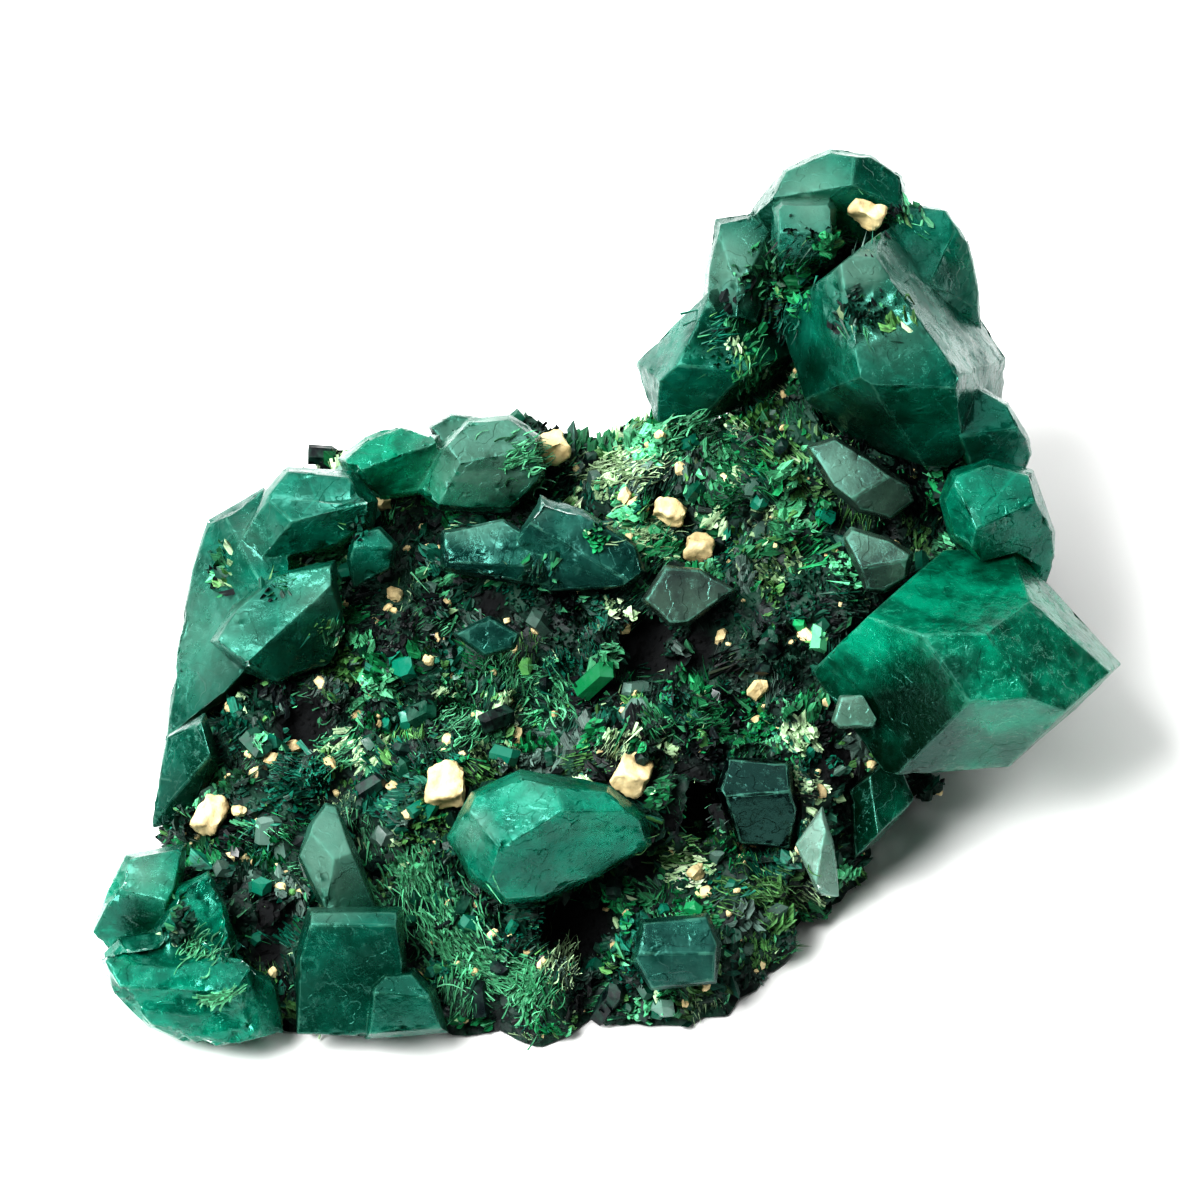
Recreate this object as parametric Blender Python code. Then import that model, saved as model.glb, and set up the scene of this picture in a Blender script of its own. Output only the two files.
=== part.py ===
# Dioptase: large green crystals in a crust of small ones, on the flat-cut piece of rock they grew on
import math
import random

import bmesh
import bpy
from mathutils import Matrix, Vector, noise
from mathutils.bvhtree import BVHTree

# Lengths are given in millimetres below and turned into metres by this factor
MM = 0.001

# The crusted side faces forward and up, this far from straight up
FACING = math.radians(50)
RIGHT = Vector((1, 0, 0))
UPHILL = Vector((0, math.sin(FACING), math.cos(FACING)))
OUTWARD = Vector((0, -math.cos(FACING), math.sin(FACING)))

# Clear space between a crystal or grain and the stone that holds it
SOCKET_GAP = 0.3 * MM

# A dioptase crystal: a six-sided prism closed at each end by three faces this far from square to its axis
END_FACE_ANGLE = math.radians(51)
FAR_END_TURNS = (270, 30, 150)
NEAR_END_TURNS = (90, 210, 330)

# A broken or half-hidden crystal: its sides lean in this much toward the front and toward the back
FRONT_LEAN = 9
BACK_LEAN = 32

# Crystals measured by their axis: at is across, uphill and above the table, angles are in degrees,
# far and near are the distances of the three end faces from the middle, and the facets are broken or
# stunted faces: angle and lean, then a point on it across, uphill and outward
PRISMS = {
    "right point": dict(
        at=(22.4, 24.2, 13), radius=7.4, heading=4, spin=3, lean=0, far=(6.5, 7.7, 6.0), near=(5.6, 7, 6.3),
        facets=[(45, 14, 28.4, 24.7, 0), (37, 42, 26.0, 27.1, 2.0), (91, 28, 22.0, 28.2, 0)],
    ),
    "tower main": dict(
        at=(16.4, 42.3, 21), radius=7.6, heading=-2, spin=8, lean=-10,
        far=(8.6, 6.2, 7.3), near=(4.8, 5, 8.1),
        facets=[
            (35, 16, 20.6, 43.9, 0), (-11, 14, 22.2, 37.3, 0), (187, 24, 11.9, 41.0, 0),
            (-121, 20, 15.6, 36.6, 0),
        ],
    ),
    "tower left": dict(
        at=(6.3, 41.8, 18), radius=4.8, heading=-3, spin=15, lean=0, far=(3.5, 3.5, 3.5), near=(1.9, 4, 6.1),
        facets=[(149, 22, 4.0, 43.4, 0), (192, 14, 2.7, 39.3, 0)],
    ),
}

# Crystals measured by their outline as seen from the front: height is that of the outline's middle,
# outline and the first two lengths of a facet are across and uphill, then how far the facet stands out
BLOCKS = {
    "tower top": dict(
        height=24,
        outline=[
            (8.7, 49.6), (10.8, 52.5), (13.6, 53.6), (16.1, 53.3), (18.0, 52.0), (18.4, 50.1),
            (17.1, 48.0), (10.6, 47.4),
        ],
        facets=[(110, 50, 13.6, 51.9, 3.5), (40, 45, 15.2, 52.2, 3.5), (-90, 45, 14.7, 50.5, 3.5)],
    ),
    "tower box": dict(
        height=25,
        outline=[
            (10.1, 50.1), (10.6, 50.6), (13.7, 50.6), (14.1, 50.0), (14.1, 47.7), (13.4, 46.7),
            (10.8, 46.6), (10.1, 47.4),
        ],
        facets=[(90, 68, 12.1, 48.9, 3.0), (-90, 55, 12.1, 48.2, 3.0)],
    ),
    "tower step": dict(
        height=21,
        outline=[
            (6.2, 46.4), (6.8, 49.4), (9.0, 49.7), (10.3, 49.1), (10.6, 45.7), (9.5, 42.7), (5.9, 43.2),
        ],
        facets=[(90, 65, 8.5, 47.4, 2.5), (170, 45, 7.2, 46.3, 2.5), (0, 45, 9.9, 46.9, 2.0)],
    ),
    "tower right": dict(
        height=21,
        outline=[
            (16.5, 49.5), (18.0, 50.4), (20.5, 50.0), (21.9, 48.0), (22.5, 45.1), (22.6, 41.6),
            (20.0, 41.8), (17.1, 46.3),
        ],
        facets=[(60, 55, 19.2, 48.3, 2.5), (10, 40, 20.9, 45.4, 2.5), (-60, 45, 20.6, 44.5, 2.5)],
    ),
    "tower shoulder": dict(
        height=17,
        outline=[
            (21.5, 39.8), (23.0, 40.8), (24.3, 38.5), (25.3, 37.9), (25.6, 35.4), (24.9, 34.0),
            (21.7, 34.5), (20.0, 37.4),
        ],
        facets=[(60, 60, 23.3, 38.0, 2.5), (-60, 45, 23.6, 36.2, 2.5)],
    ),
    "tower foot": dict(
        height=15,
        outline=[
            (20.0, 32.7), (20.6, 34.5), (22.9, 35.2), (25.6, 34.5), (26.9, 30.9), (26.8, 27.4),
            (23.6, 27.4), (20.6, 30.4),
        ],
        facets=[(80, 65, 23.6, 32.7, 3.5), (-50, 45, 23.9, 31.2, 3.5), (190, 35, 20.9, 32.7, 3.0)],
    ),
    "rim top": dict(
        height=12,
        outline=[
            (-21.8, 29.8), (-19.9, 33.2), (-18.6, 34.7), (-14.6, 34.5), (-13.1, 32.7), (-13.4, 30.9),
            (-15.6, 29.8), (-20.6, 28.5),
        ],
        facets=[(110, 60, -17.1, 33.3, 3.0), (190, 50, -19.2, 31.5, 3.0), (-80, 45, -16.5, 30.9, 3.0)],
    ),
    "rim long": dict(
        height=7,
        outline=[
            (-23.3, 31.5), (-19.9, 33.5), (-17.7, 29.2), (-17.7, 24.5), (-21.8, 20.9), (-25.8, 18.4),
            (-25.3, 22.7), (-24.2, 28.6),
        ],
        facets=[(170, 45, -22.1, 26.8, 3.0), (90, 55, -21.2, 30.4, 3.0)],
    ),
    "rim low": dict(
        height=5,
        outline=[(-25.8, 18.7), (-23.3, 20.2), (-22.4, 17.4), (-24.2, 13.9), (-26.6, 13.1), (-26.2, 15.6)],
        facets=[(180, 50, -24.8, 16.8, 1.5), (-80, 50, -24.5, 15.6, 1.5)],
    ),
    "rim broad": dict(
        height=9.5,
        outline=[
            (-23.6, 23.6), (-21.7, 26.5), (-19.3, 28.5), (-15.6, 29.2), (-15.0, 24.9), (-15.9, 23.0),
            (-19.9, 21.4), (-21.2, 22.6),
        ],
        facets=[(120, 60, -18.6, 26.8, 2.5), (-40, 45, -17.4, 25.3, 2.5)],
    ),
    "rim small": dict(
        height=12,
        outline=[(-15.0, 29.2), (-14.6, 30.9), (-13.0, 31.2), (-11.9, 30.1), (-12.3, 28.6), (-14.6, 27.5)],
        facets=[(90, 60, -13.4, 29.9, 1.8), (-90, 55, -13.4, 29.9, 1.8)],
    ),
    "back green": dict(
        height=12,
        outline=[
            (-15.6, 35.2), (-13.9, 36.5), (-11.8, 37.3), (-9.4, 36.7), (-9.1, 35.4), (-10.6, 33.0),
            (-13.0, 32.7), (-15.0, 33.9),
        ],
        facets=[(100, 50, -12.7, 35.7, 2.5), (-60, 50, -11.8, 34.8, 2.5)],
    ),
    "back grey": dict(
        height=12.5,
        outline=[
            (-10.9, 33.3), (-9.6, 36.0), (-7.9, 37.6), (-5.3, 37.8), (-3.4, 36.6), (-3.2, 34.0),
            (-5.2, 31.9), (-9.6, 32.1),
        ],
        facets=[(90, 68, -6.5, 36.4, 2.6), (185, 52, -9.2, 34.6, 2.5), (-72, 60, -6.3, 34.4, 2.6)],
    ),
    "back small": dict(
        height=10,
        outline=[(-10.3, 37.1), (-8.8, 37.9), (-7.2, 37.7), (-7.0, 36.2), (-9.4, 35.7)],
        facets=[(90, 60, -8.5, 36.8, 1.5)],
    ),
    "corner upper": dict(
        height=5,
        outline=[
            (-30.0, 7.2), (-29.0, 9.8), (-28.0, 11.8), (-24.3, 12.5), (-24.6, 9.8), (-25.4, 7.6),
            (-28.7, 5.4),
        ],
        facets=[(100, 60, -27.1, 10.6, 2.5), (-120, 52, -27.6, 8.8, 2.5)],
    ),
    "corner lower": dict(
        height=3.5,
        outline=[
            (-29.6, 5.6), (-28.4, 7.0), (-24.3, 7.6), (-20.6, 6.2), (-18.9, 4.1), (-18.6, 1.2),
            (-22.8, 0.1), (-26.6, 1.6), (-28.6, 3.6),
        ],
        facets=[(88, 66, -23.6, 4.4, 3.2), (-95, 56, -23.6, 3.4, 3.2), (-10, 45, -20.6, 3.6, 2.6)],
    ),
    "corner middle": dict(
        height=5,
        outline=[
            (-26.5, 7.4), (-25.0, 10.0), (-23.0, 11.0), (-21.9, 9.4), (-20.6, 6.2), (-23.6, 3.8),
            (-25.9, 4.4),
        ],
        facets=[(55, 64, -23.6, 8.5, 2.8), (-130, 58, -24.7, 6.2, 2.8)],
    ),
    "front tall": dict(
        height=4.5,
        outline=[(-17.2, 8.7), (-11.6, 8.8), (-11.3, 5.4), (-11.6, 1.0), (-17.9, 1.2), (-18.0, 5.7)],
        facets=[(90, 50, -14.5, 8.0, 2.6), (-92, 70, -14.5, 7.6, 2.8)],
    ),
    "front spear": dict(
        height=7.5,
        outline=[
            (-17.9, 11.7), (-17.2, 13.6), (-16.2, 14.9), (-15.0, 14.6), (-14.0, 11.5), (-12.6, 8.4),
            (-16.0, 7.6),
        ],
        facets=[(85, 58, -15.8, 12.6, 2.2), (-40, 62, -15.0, 10.4, 2.2), (190, 50, -16.6, 11.0, 2.0)],
    ),
    "front short": dict(
        height=3.2,
        outline=[(-13.8, 4.1), (-12.8, 5.1), (-10.9, 5.2), (-9.6, 3.8), (-8.9, 1.3), (-13.9, 0.9)],
        facets=[(-90, 64, -11.8, 3.2, 3.0), (80, 60, -11.8, 3.9, 3.0)],
    ),
    "bright": dict(
        height=9,
        outline=[
            (-9.1, 12.8), (-7.7, 15.6), (-4.7, 16.9), (0.6, 16.0), (2.7, 14.1), (3.1, 12.4),
            (0.0, 10.5), (-3.2, 9.1), (-5.6, 8.8), (-7.7, 10.2),
        ],
        facets=[
            (120, 60, -4.7, 14.7, 4.0), (190, 40, -7.2, 13.0, 3.6), (-60, 50, -1.8, 13.6, 4.2),
            (60, 50, -0.6, 14.7, 4.0),
        ],
    ),
    "slate left": dict(
        height=12,
        outline=[(-9.5, 28.2), (-9.4, 31.0), (-5.7, 31.8), (-3.2, 30.0), (-2.6, 27.2), (-6.0, 27.8)],
        facets=[(100, 78, -6.5, 29.8, 1.6), (-97, 56, -6.3, 28.6, 1.6)],
    ),
    "slate right": dict(
        height=12.5,
        outline=[
            (-5.2, 30.4), (-3.6, 33.1), (-1.0, 32.2), (2.2, 30.2), (3.0, 28.4), (1.6, 27.3),
            (-3.4, 27.2),
        ],
        facets=[(62, 76, -0.4, 30.4, 1.9), (-122, 66, -1.6, 28.9, 1.8)],
    ),
    "slate diamond": dict(
        height=12,
        outline=[(2.4, 26.8), (3.8, 28.9), (5.9, 28.7), (8.1, 27.4), (5.3, 25.3), (4.1, 25.2)],
        facets=[(45, 80, 5.3, 27.1, 1.2)],
    ),
    "small diamond": dict(
        height=11,
        outline=[(-8.8, 24.8), (-6.5, 25.9), (-4.7, 24.8), (-5.0, 23.9), (-6.8, 23.4)],
        facets=[(0, 85, -6.5, 24.6, 1.0)],
    ),
    "slope upper": dict(
        height=16,
        outline=[
            (12.1, 35.9), (13.9, 36.5), (16.0, 35.3), (18.3, 33.7), (18.6, 32.6), (17.2, 31.5),
            (15.3, 31.9), (13.6, 33.3),
        ],
        facets=[(95, 74, 15.3, 34.6, 1.8), (-50, 56, 16.4, 33.1, 1.8)],
    ),
    "slope lower": dict(
        height=14,
        outline=[
            (14.2, 30.5), (14.8, 31.2), (17.2, 30.5), (18.6, 29.6), (18.2, 28.0), (16.8, 27.2),
            (15.7, 27.3),
        ],
        facets=[(100, 76, 16.3, 29.6, 1.8), (-80, 58, 16.6, 28.6, 1.8)],
    ),
    "pale chip": dict(
        height=11,
        outline=[(13.6, 19.6), (14.1, 21.2), (15.9, 21.4), (16.6, 19.9), (16.2, 19.2), (14.1, 19.2)],
        facets=[(0, 86, 15.0, 20.2, 1.0)],
    ),
    "front square": dict(
        height=5,
        outline=[(1.8, 5.6), (2.4, 8.0), (6.4, 8.4), (7.2, 6.6), (6.9, 4.2), (3.0, 3.8)],
        facets=[(90, 70, 4.5, 6.6, 2.0), (-90, 62, 4.5, 5.6, 2.0)],
    ),
    "dark hollow": dict(
        height=7,
        outline=[(6.8, 15.6), (7.5, 17.6), (11.2, 17.3), (11.8, 14.4), (11.2, 12.1), (8.2, 12.4)],
        facets=[(90, 62, 8.8, 15.8, 2.0), (-80, 60, 9.6, 15.0, 2.0)],
    ),
    "edge blade": dict(
        height=8,
        outline=[(11.5, 12.4), (13.1, 14.7), (13.9, 12.1), (14.1, 9.3), (12.8, 9.4)],
        facets=[(170, 55, 12.8, 12.1, 1.2), (-10, 50, 13.3, 12.1, 1.2)],
    ),
    "edge green": dict(
        height=5,
        outline=[(14.7, 15.6), (16.5, 17.3), (18.0, 16.5), (18.6, 15.0), (16.5, 12.6), (15.0, 11.4)],
        facets=[(20, 60, 16.5, 15.0, 1.5), (180, 50, 15.9, 15.0, 1.5)],
    ),
}

# Which crystals have grown together into one piece
CRYSTAL_PIECES = {
    "tower_crystals": (
        "tower main", "tower left", "tower top", "tower box", "tower step", "tower right", "tower shoulder",
    ),
    "right_point_crystal": ("right point",),
    "tower_foot_crystal": ("tower foot",),
    "rim_crystals": ("rim broad", "rim top", "rim long"),
    "rim_low_crystal": ("rim low",),
    "rim_small_crystal": ("rim small",),
    "back_crystals": ("back grey", "back green"),
    "back_small_crystal": ("back small",),
    "corner_crystals": ("corner lower", "corner middle", "corner upper"),
    "front_crystals": ("front tall", "front spear", "front short"),
    "bright_crystal": ("bright",),
    "slate_crystals": ("slate right", "slate left"),
    "slate_diamond": ("slate diamond",),
    "small_diamond": ("small diamond",),
    "slope_upper_crystal": ("slope upper",),
    "slope_lower_crystal": ("slope lower",),
    "pale_chip": ("pale chip",),
    "front_square": ("front square",),
    "dark_hollow_crystal": ("dark hollow",),
    "edge_blade": ("edge blade",),
    "edge_crystal": ("edge green",),
}

# The rock under the crust, heaped from lumps: across, back and up, then the three radii
ROCK_LUMPS = [
    (-16, 8.5, 0.5, 9, 7.5, 4.5), (-5, 7.5, 0.5, 9, 6.5, 4.5), (3.5, 8, 1, 7, 6.5, 4.5),
    (8, 10.5, 1.5, 4.5, 5.5, 4.5),
    (-20, 17, 1.5, 6.5, 9, 6), (-9, 17, 2, 9, 8, 7), (3, 17, 2, 9, 8, 7.5), (11, 18, 2.5, 5.5, 8, 7),
    (-18, 27, 1.5, 6.5, 9, 7.5), (-10, 28, 2, 9, 9, 8.5), (1, 28, 2, 10, 9, 9.5), (12, 28, 3, 9, 9, 10),
    (-15, 35, 1, 8, 6, 8.5), (-5, 37, 1.5, 9, 6.5, 10.5), (5, 37, 2, 8, 7, 11.5), (12, 36, 5, 7, 8, 13),
    (17, 37, 5, 8, 8, 15), (20, 32, 3, 5.5, 8, 10), (16, 40, 7, 7, 6, 13), (13.5, 43, 12, 5.5, 5, 10.5),
    (15.5, 22.5, 3, 4.5, 5, 8), (11.5, 43.5, 18, 4.5, 4, 6.5),
]
ROCK_CELL = 0.8 * MM
ROCK_TRIANGLE_SHARE = 0.16
ROCK_ROUGHNESS = ((7.0, 1.6), (3.0, 0.9))

# Dark hollows between the crystals: across and uphill as seen, height, then radius
HOLLOWS = [
    (-1.0, 7.4, 3.5, 2.7), (9.2, 14.9, 6.5, 2.8), (5.9, 14.0, 5.5, 2.4), (-19.3, 8.4, 3.0, 2.0),
    (3.0, 24.0, 9.5, 2.2), (-17.5, 19.5, 7.0, 2.0),
]

# A block larger than any crystal, from which each is cut
BLANK_SIZE = 60 * MM

# Points nearer than this are one point: after a cut by planes, and after crystals are joined
WELD_CUT = 0.02 * MM
WELD_JOINED = 0.001 * MM

# Small crystals fused to the rock all over the crust: the patch they grow on, their sizes in millimetres,
# the least space between two, and how far they tip, in radians
SMALL_COUNT = 58
SMALL_ACROSS = (-25, 23)
SMALL_UPHILL = (2.6, 45)
SMALL_RADIUS = (0.7, 1.5)
SMALL_LENGTH = 2.6
SMALL_TAPER = 0.8
SMALL_SPACING = 2.2
SMALL_TIP = 0.9
SMALL_SIDES = 6
SMALL_SEED = 7
CLEAR_OF_LARGE = 0.5 * MM

# They grow where the crust turns this much toward the person or more
LEAST_FACING = 0.35

# How far in front of the specimen a look from the front starts
LOOK_DISTANCE = 80 * MM

# Cream grains: name, then across and uphill as seen, and half the length, width and height
GRAINS = {
    "tower_grain": (15.9, 49.9, 0.95, 0.8, 0.8),
    "slope_grain": (4.2, 32.1, 0.95, 0.6, 0.6),
    "centre_grain": (5.9, 29.9, 0.8, 0.7, 0.7),
    "left_grain": (-9.1, 15.9, 1.1, 1.15, 0.9),
    "front_grain": (1.9, 16.5, 0.95, 1.05, 0.8),
    "edge_grain": (-23.0, 14.1, 0.75, 1.1, 0.7),
    "back_grain": (-2.7, 35.9, 0.8, 0.8, 0.7),
}

# The part of a grain's height that stands out of its socket, and how much its corners are cut
GRAIN_STAND = 0.3
GRAIN_CORNERS = (0.72, 0.86)
GRAIN_TIP = 0.5

# The colour of each piece, then how rough each kind of stone is
COLOURS = {
    "tower_crystals": (0.02, 0.16, 0.11),
    "right_point_crystal": (0.01, 0.19, 0.12),
    "tower_foot_crystal": (0.02, 0.26, 0.17),
    "rim_crystals": (0.04, 0.17, 0.12),
    "rim_low_crystal": (0.03, 0.18, 0.13),
    "rim_small_crystal": (0.02, 0.16, 0.11),
    "back_crystals": (0.02, 0.24, 0.16),
    "back_small_crystal": (0.02, 0.24, 0.16),
    "corner_crystals": (0.01, 0.25, 0.16),
    "front_crystals": (0.01, 0.09, 0.05),
    "bright_crystal": (0.02, 0.34, 0.23),
    "slate_crystals": (0.04, 0.11, 0.09),
    "slate_diamond": (0.06, 0.08, 0.08),
    "small_diamond": (0.04, 0.12, 0.10),
    "slope_upper_crystal": (0.07, 0.12, 0.10),
    "slope_lower_crystal": (0.07, 0.12, 0.10),
    "pale_chip": (0.16, 0.24, 0.20),
    "front_square": (0.03, 0.08, 0.07),
    "dark_hollow_crystal": (0.01, 0.02, 0.02),
    "edge_blade": (0.12, 0.20, 0.16),
    "edge_crystal": (0.01, 0.22, 0.14),
    "rock_with_crust": (0.02, 0.06, 0.04),
}
CREAM = (0.78, 0.66, 0.44)
CRYSTAL_ROUGHNESS = 0.2
GRAIN_ROUGHNESS = 0.6
ROCK_SURFACE_ROUGHNESS = 0.8


def clear_scene():
    for item in list(bpy.data.objects):
        bpy.data.objects.remove(item, do_unlink=True)


def give_material(item, colour, roughness):
    """A material of its own for a piece, under the piece's name."""
    material = bpy.data.materials.new(item.name)
    material.use_nodes = True
    shader = material.node_tree.nodes["Principled BSDF"]
    shader.inputs["Base Color"].default_value = (*colour, 1)
    shader.inputs["Roughness"].default_value = roughness
    shader.inputs["Metallic"].default_value = 0
    item.data.materials.clear()
    item.data.materials.append(material)


def make_object(name, bm):
    mesh = bpy.data.meshes.new(name)
    bm.to_mesh(mesh)
    bm.free()
    item = bpy.data.objects.new(name, mesh)
    bpy.context.collection.objects.link(item)
    return item


def seen_point(across, uphill, height):
    """The point at this height that a person facing the crust sees at across and uphill."""
    back = (uphill - height * math.cos(FACING)) / math.sin(FACING)
    return Vector((across, back, height)) * MM


def facing_normal(angle, lean):
    """A direction at an angle in the facing plane, leaned toward the person by lean."""
    angle = math.radians(angle)
    lean = math.radians(lean)
    flat = RIGHT * math.cos(angle) + UPHILL * math.sin(angle)
    return flat * math.cos(lean) + OUTWARD * math.sin(lean)


def prism_planes(crystal):
    """The six sides and six end faces of a whole crystal, each as a point on it and its normal."""
    heading = math.radians(crystal["heading"])
    lean = math.radians(crystal["lean"])
    flat_axis = RIGHT * math.cos(heading) + UPHILL * math.sin(heading)
    axis = flat_axis * math.cos(lean) + OUTWARD * math.sin(lean)
    first = (OUTWARD - axis * OUTWARD.dot(axis)).normalized()
    second = first.cross(axis)

    def side(turn):
        turn = math.radians(turn + crystal["spin"])
        return first * math.cos(turn) + second * math.sin(turn)

    across, uphill, _ = crystal["at"]
    centre = seen_point(*crystal["at"])
    flat = crystal["radius"] * math.cos(math.pi / 6)
    faces = [(side(60 * step), flat) for step in range(6)]
    for end, turns, distances in ((1, FAR_END_TURNS, crystal["far"]), (-1, NEAR_END_TURNS, crystal["near"])):
        for turn, distance in zip(turns, distances):
            normal = axis * end * math.cos(END_FACE_ANGLE) + side(turn) * math.sin(END_FACE_ANGLE)
            faces.append((normal, distance))
    planes = [(centre + normal * distance * MM, normal) for normal, distance in faces]
    for angle, lean, x, y, stand in crystal["facets"]:
        point = centre + (RIGHT * (x - across) + UPHILL * (y - uphill) + OUTWARD * stand) * MM
        planes.append((point, facing_normal(angle, lean)))
    return centre, planes


def block_planes(crystal):
    """The faces of a crystal known by its outline: two leaning sides to each edge, and its front facets."""
    outline = crystal["outline"]
    middle = [sum(point[i] for point in outline) / len(outline) for i in range(2)]
    centre = seen_point(middle[0], middle[1], crystal["height"])

    def on_plane(across, uphill, stand=0):
        return centre + (RIGHT * (across - middle[0]) + UPHILL * (uphill - middle[1]) + OUTWARD * stand) * MM

    planes = []
    for start, end in zip(outline, outline[1:] + outline[:1]):
        halfway = ((start[0] + end[0]) / 2, (start[1] + end[1]) / 2)
        angle = math.degrees(math.atan2(end[1] - start[1], end[0] - start[0])) + 90
        outward = (halfway[0] - middle[0], halfway[1] - middle[1])
        if outward[0] * math.cos(math.radians(angle)) + outward[1] * math.sin(math.radians(angle)) < 0:
            angle += 180
        planes.append((on_plane(*halfway), facing_normal(angle, FRONT_LEAN)))
        planes.append((on_plane(*halfway), facing_normal(angle, -BACK_LEAN)))
    for angle, lean, across, uphill, stand in crystal["facets"]:
        planes.append((on_plane(across, uphill, stand), facing_normal(angle, lean)))
    return centre, planes


def cut_solid(name, centre, planes, grow):
    """A convex solid left after a block is cut along every plane, each moved out by grow."""
    bm = bmesh.new()
    bmesh.ops.create_cube(bm, size=BLANK_SIZE, matrix=Matrix.Translation(centre))
    cuts = [(point + normal * grow, normal) for point, normal in planes]
    cuts.append((Vector((0, 0, -4 * grow)), Vector((0, 0, -1))))
    for point, normal in cuts:
        everything = bm.verts[:] + bm.edges[:] + bm.faces[:]
        cut = bmesh.ops.bisect_plane(bm, geom=everything, plane_co=point, plane_no=normal, clear_outer=True)
        rim = [edge for edge in cut["geom_cut"] if isinstance(edge, bmesh.types.BMEdge)]
        if rim:
            bmesh.ops.holes_fill(bm, edges=rim, sides=0)
    bmesh.ops.remove_doubles(bm, verts=bm.verts[:], dist=WELD_CUT)
    bmesh.ops.recalc_face_normals(bm, faces=bm.faces[:])
    return make_object(name, bm)


def make_crystal(name, grow=0):
    if name in PRISMS:
        return cut_solid(name, *prism_planes(PRISMS[name]), grow)
    return cut_solid(name, *block_planes(BLOCKS[name]), grow)


def boolean(target, tool, operation):
    """Joins the tool to the target or cuts it away, and leaves the tool as it was."""
    step = target.modifiers.new("shape", "BOOLEAN")
    step.operation = operation
    step.solver = "EXACT"
    step.object = tool
    shaped = bpy.data.meshes.new_from_object(target.evaluated_get(bpy.context.evaluated_depsgraph_get()))
    target.modifiers.clear()
    target.data = shaped


def remove(item):
    bpy.data.objects.remove(item, do_unlink=True)


def islands(bm):
    """The separate bodies of a mesh, as lists of faces."""
    left = set(bm.faces)
    found = []
    while left:
        body = []
        stack = [left.pop()]
        while stack:
            face = stack.pop()
            body.append(face)
            for edge in face.edges:
                for other in edge.link_faces:
                    if other in left:
                        left.remove(other)
                        stack.append(other)
        found.append(body)
    return found


def keep_main_body(item):
    """Drops the loose chips that a cut leaves, and cleans up the edges."""
    bm = bmesh.new()
    bm.from_mesh(item.data)
    bmesh.ops.remove_doubles(bm, verts=bm.verts[:], dist=WELD_JOINED)
    bodies = sorted(islands(bm), key=lambda faces: sum(face.calc_area() for face in faces))
    chips = [face for body in bodies[:-1] for face in body]
    bmesh.ops.delete(bm, geom=chips, context="FACES")
    bmesh.ops.dissolve_degenerate(bm, edges=bm.edges[:], dist=WELD_JOINED)
    bm.to_mesh(item.data)
    bm.free()
    print(f"{item.name}: {len(item.data.polygons)} faces, {len(bodies) - 1} chips dropped")


def grown_together(name, members, grow=0):
    """One piece made of the named crystals."""
    piece = make_crystal(members[0], grow)
    for member in members[1:]:
        other = make_crystal(member, grow)
        boolean(piece, other, "UNION")
        remove(other)
    piece.name = name
    return piece


def crystal_pieces():
    """Every crystal piece, with a slightly larger copy that clears its socket."""
    pieces = []
    sockets = []
    for name, members in CRYSTAL_PIECES.items():
        piece = grown_together(name, members)
        for socket in sockets:
            boolean(piece, socket, "DIFFERENCE")
        keep_main_body(piece)
        give_material(piece, COLOURS[name], CRYSTAL_ROUGHNESS)
        pieces.append(piece)
        sockets.append(grown_together("socket for " + name, members, SOCKET_GAP))
    return pieces, sockets


def heaped_rock():
    """The rock as one lump, rough all over."""
    bm = bmesh.new()
    for x, y, z, length, width, height in ROCK_LUMPS:
        place = Matrix.Translation(Vector((x, y, z)) * MM) @ Matrix.Diagonal((length, width, height, 1))
        bmesh.ops.create_icosphere(bm, subdivisions=3, radius=MM, matrix=place)
    rock = make_object("rock", bm)
    merge = rock.modifiers.new("merge lumps", "REMESH")
    merge.mode = "VOXEL"
    merge.voxel_size = ROCK_CELL
    rock.data = bpy.data.meshes.new_from_object(rock.evaluated_get(bpy.context.evaluated_depsgraph_get()))
    rock.modifiers.clear()
    roughen(rock.data)
    thin = rock.modifiers.new("fewer faces", "DECIMATE")
    thin.ratio = ROCK_TRIANGLE_SHARE
    rock.data = bpy.data.meshes.new_from_object(rock.evaluated_get(bpy.context.evaluated_depsgraph_get()))
    rock.modifiers.clear()
    return rock


def roughen(mesh):
    """Pushes the surface in and out by lumps of two sizes."""
    offsets = []
    for vertex in mesh.vertices:
        push = 0
        for size, depth in ROCK_ROUGHNESS:
            place = vertex.co / (size * MM)
            near, next_near = noise.voronoi(place)[0][:2]
            push += (next_near - near - 0.3) * depth * MM
        offsets.append(vertex.normal * push)
    for vertex, offset in zip(mesh.vertices, offsets):
        vertex.co += offset


def cut_flat(mesh):
    """Takes off everything below the table, and closes the cut with one flat face."""
    bm = bmesh.new()
    bm.from_mesh(mesh)
    everything = bm.verts[:] + bm.edges[:] + bm.faces[:]
    table, down = Vector((0, 0, 0)), Vector((0, 0, -1))
    cut = bmesh.ops.bisect_plane(bm, geom=everything, plane_co=table, plane_no=down, clear_outer=True)
    rim = [edge for edge in cut["geom_cut"] if isinstance(edge, bmesh.types.BMEdge)]
    bmesh.ops.holes_fill(bm, edges=rim, sides=0)
    bmesh.ops.recalc_face_normals(bm, faces=bm.faces[:])
    bm.to_mesh(mesh)
    bm.free()


def surface_under(tree, across, uphill):
    """Where a look from the front meets the surface, and its normal there; both None past its edge."""
    start = seen_point(across, uphill, 0) + OUTWARD * LOOK_DISTANCE
    place, normal, _, _ = tree.ray_cast(start, -OUTWARD)
    return place, normal


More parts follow.
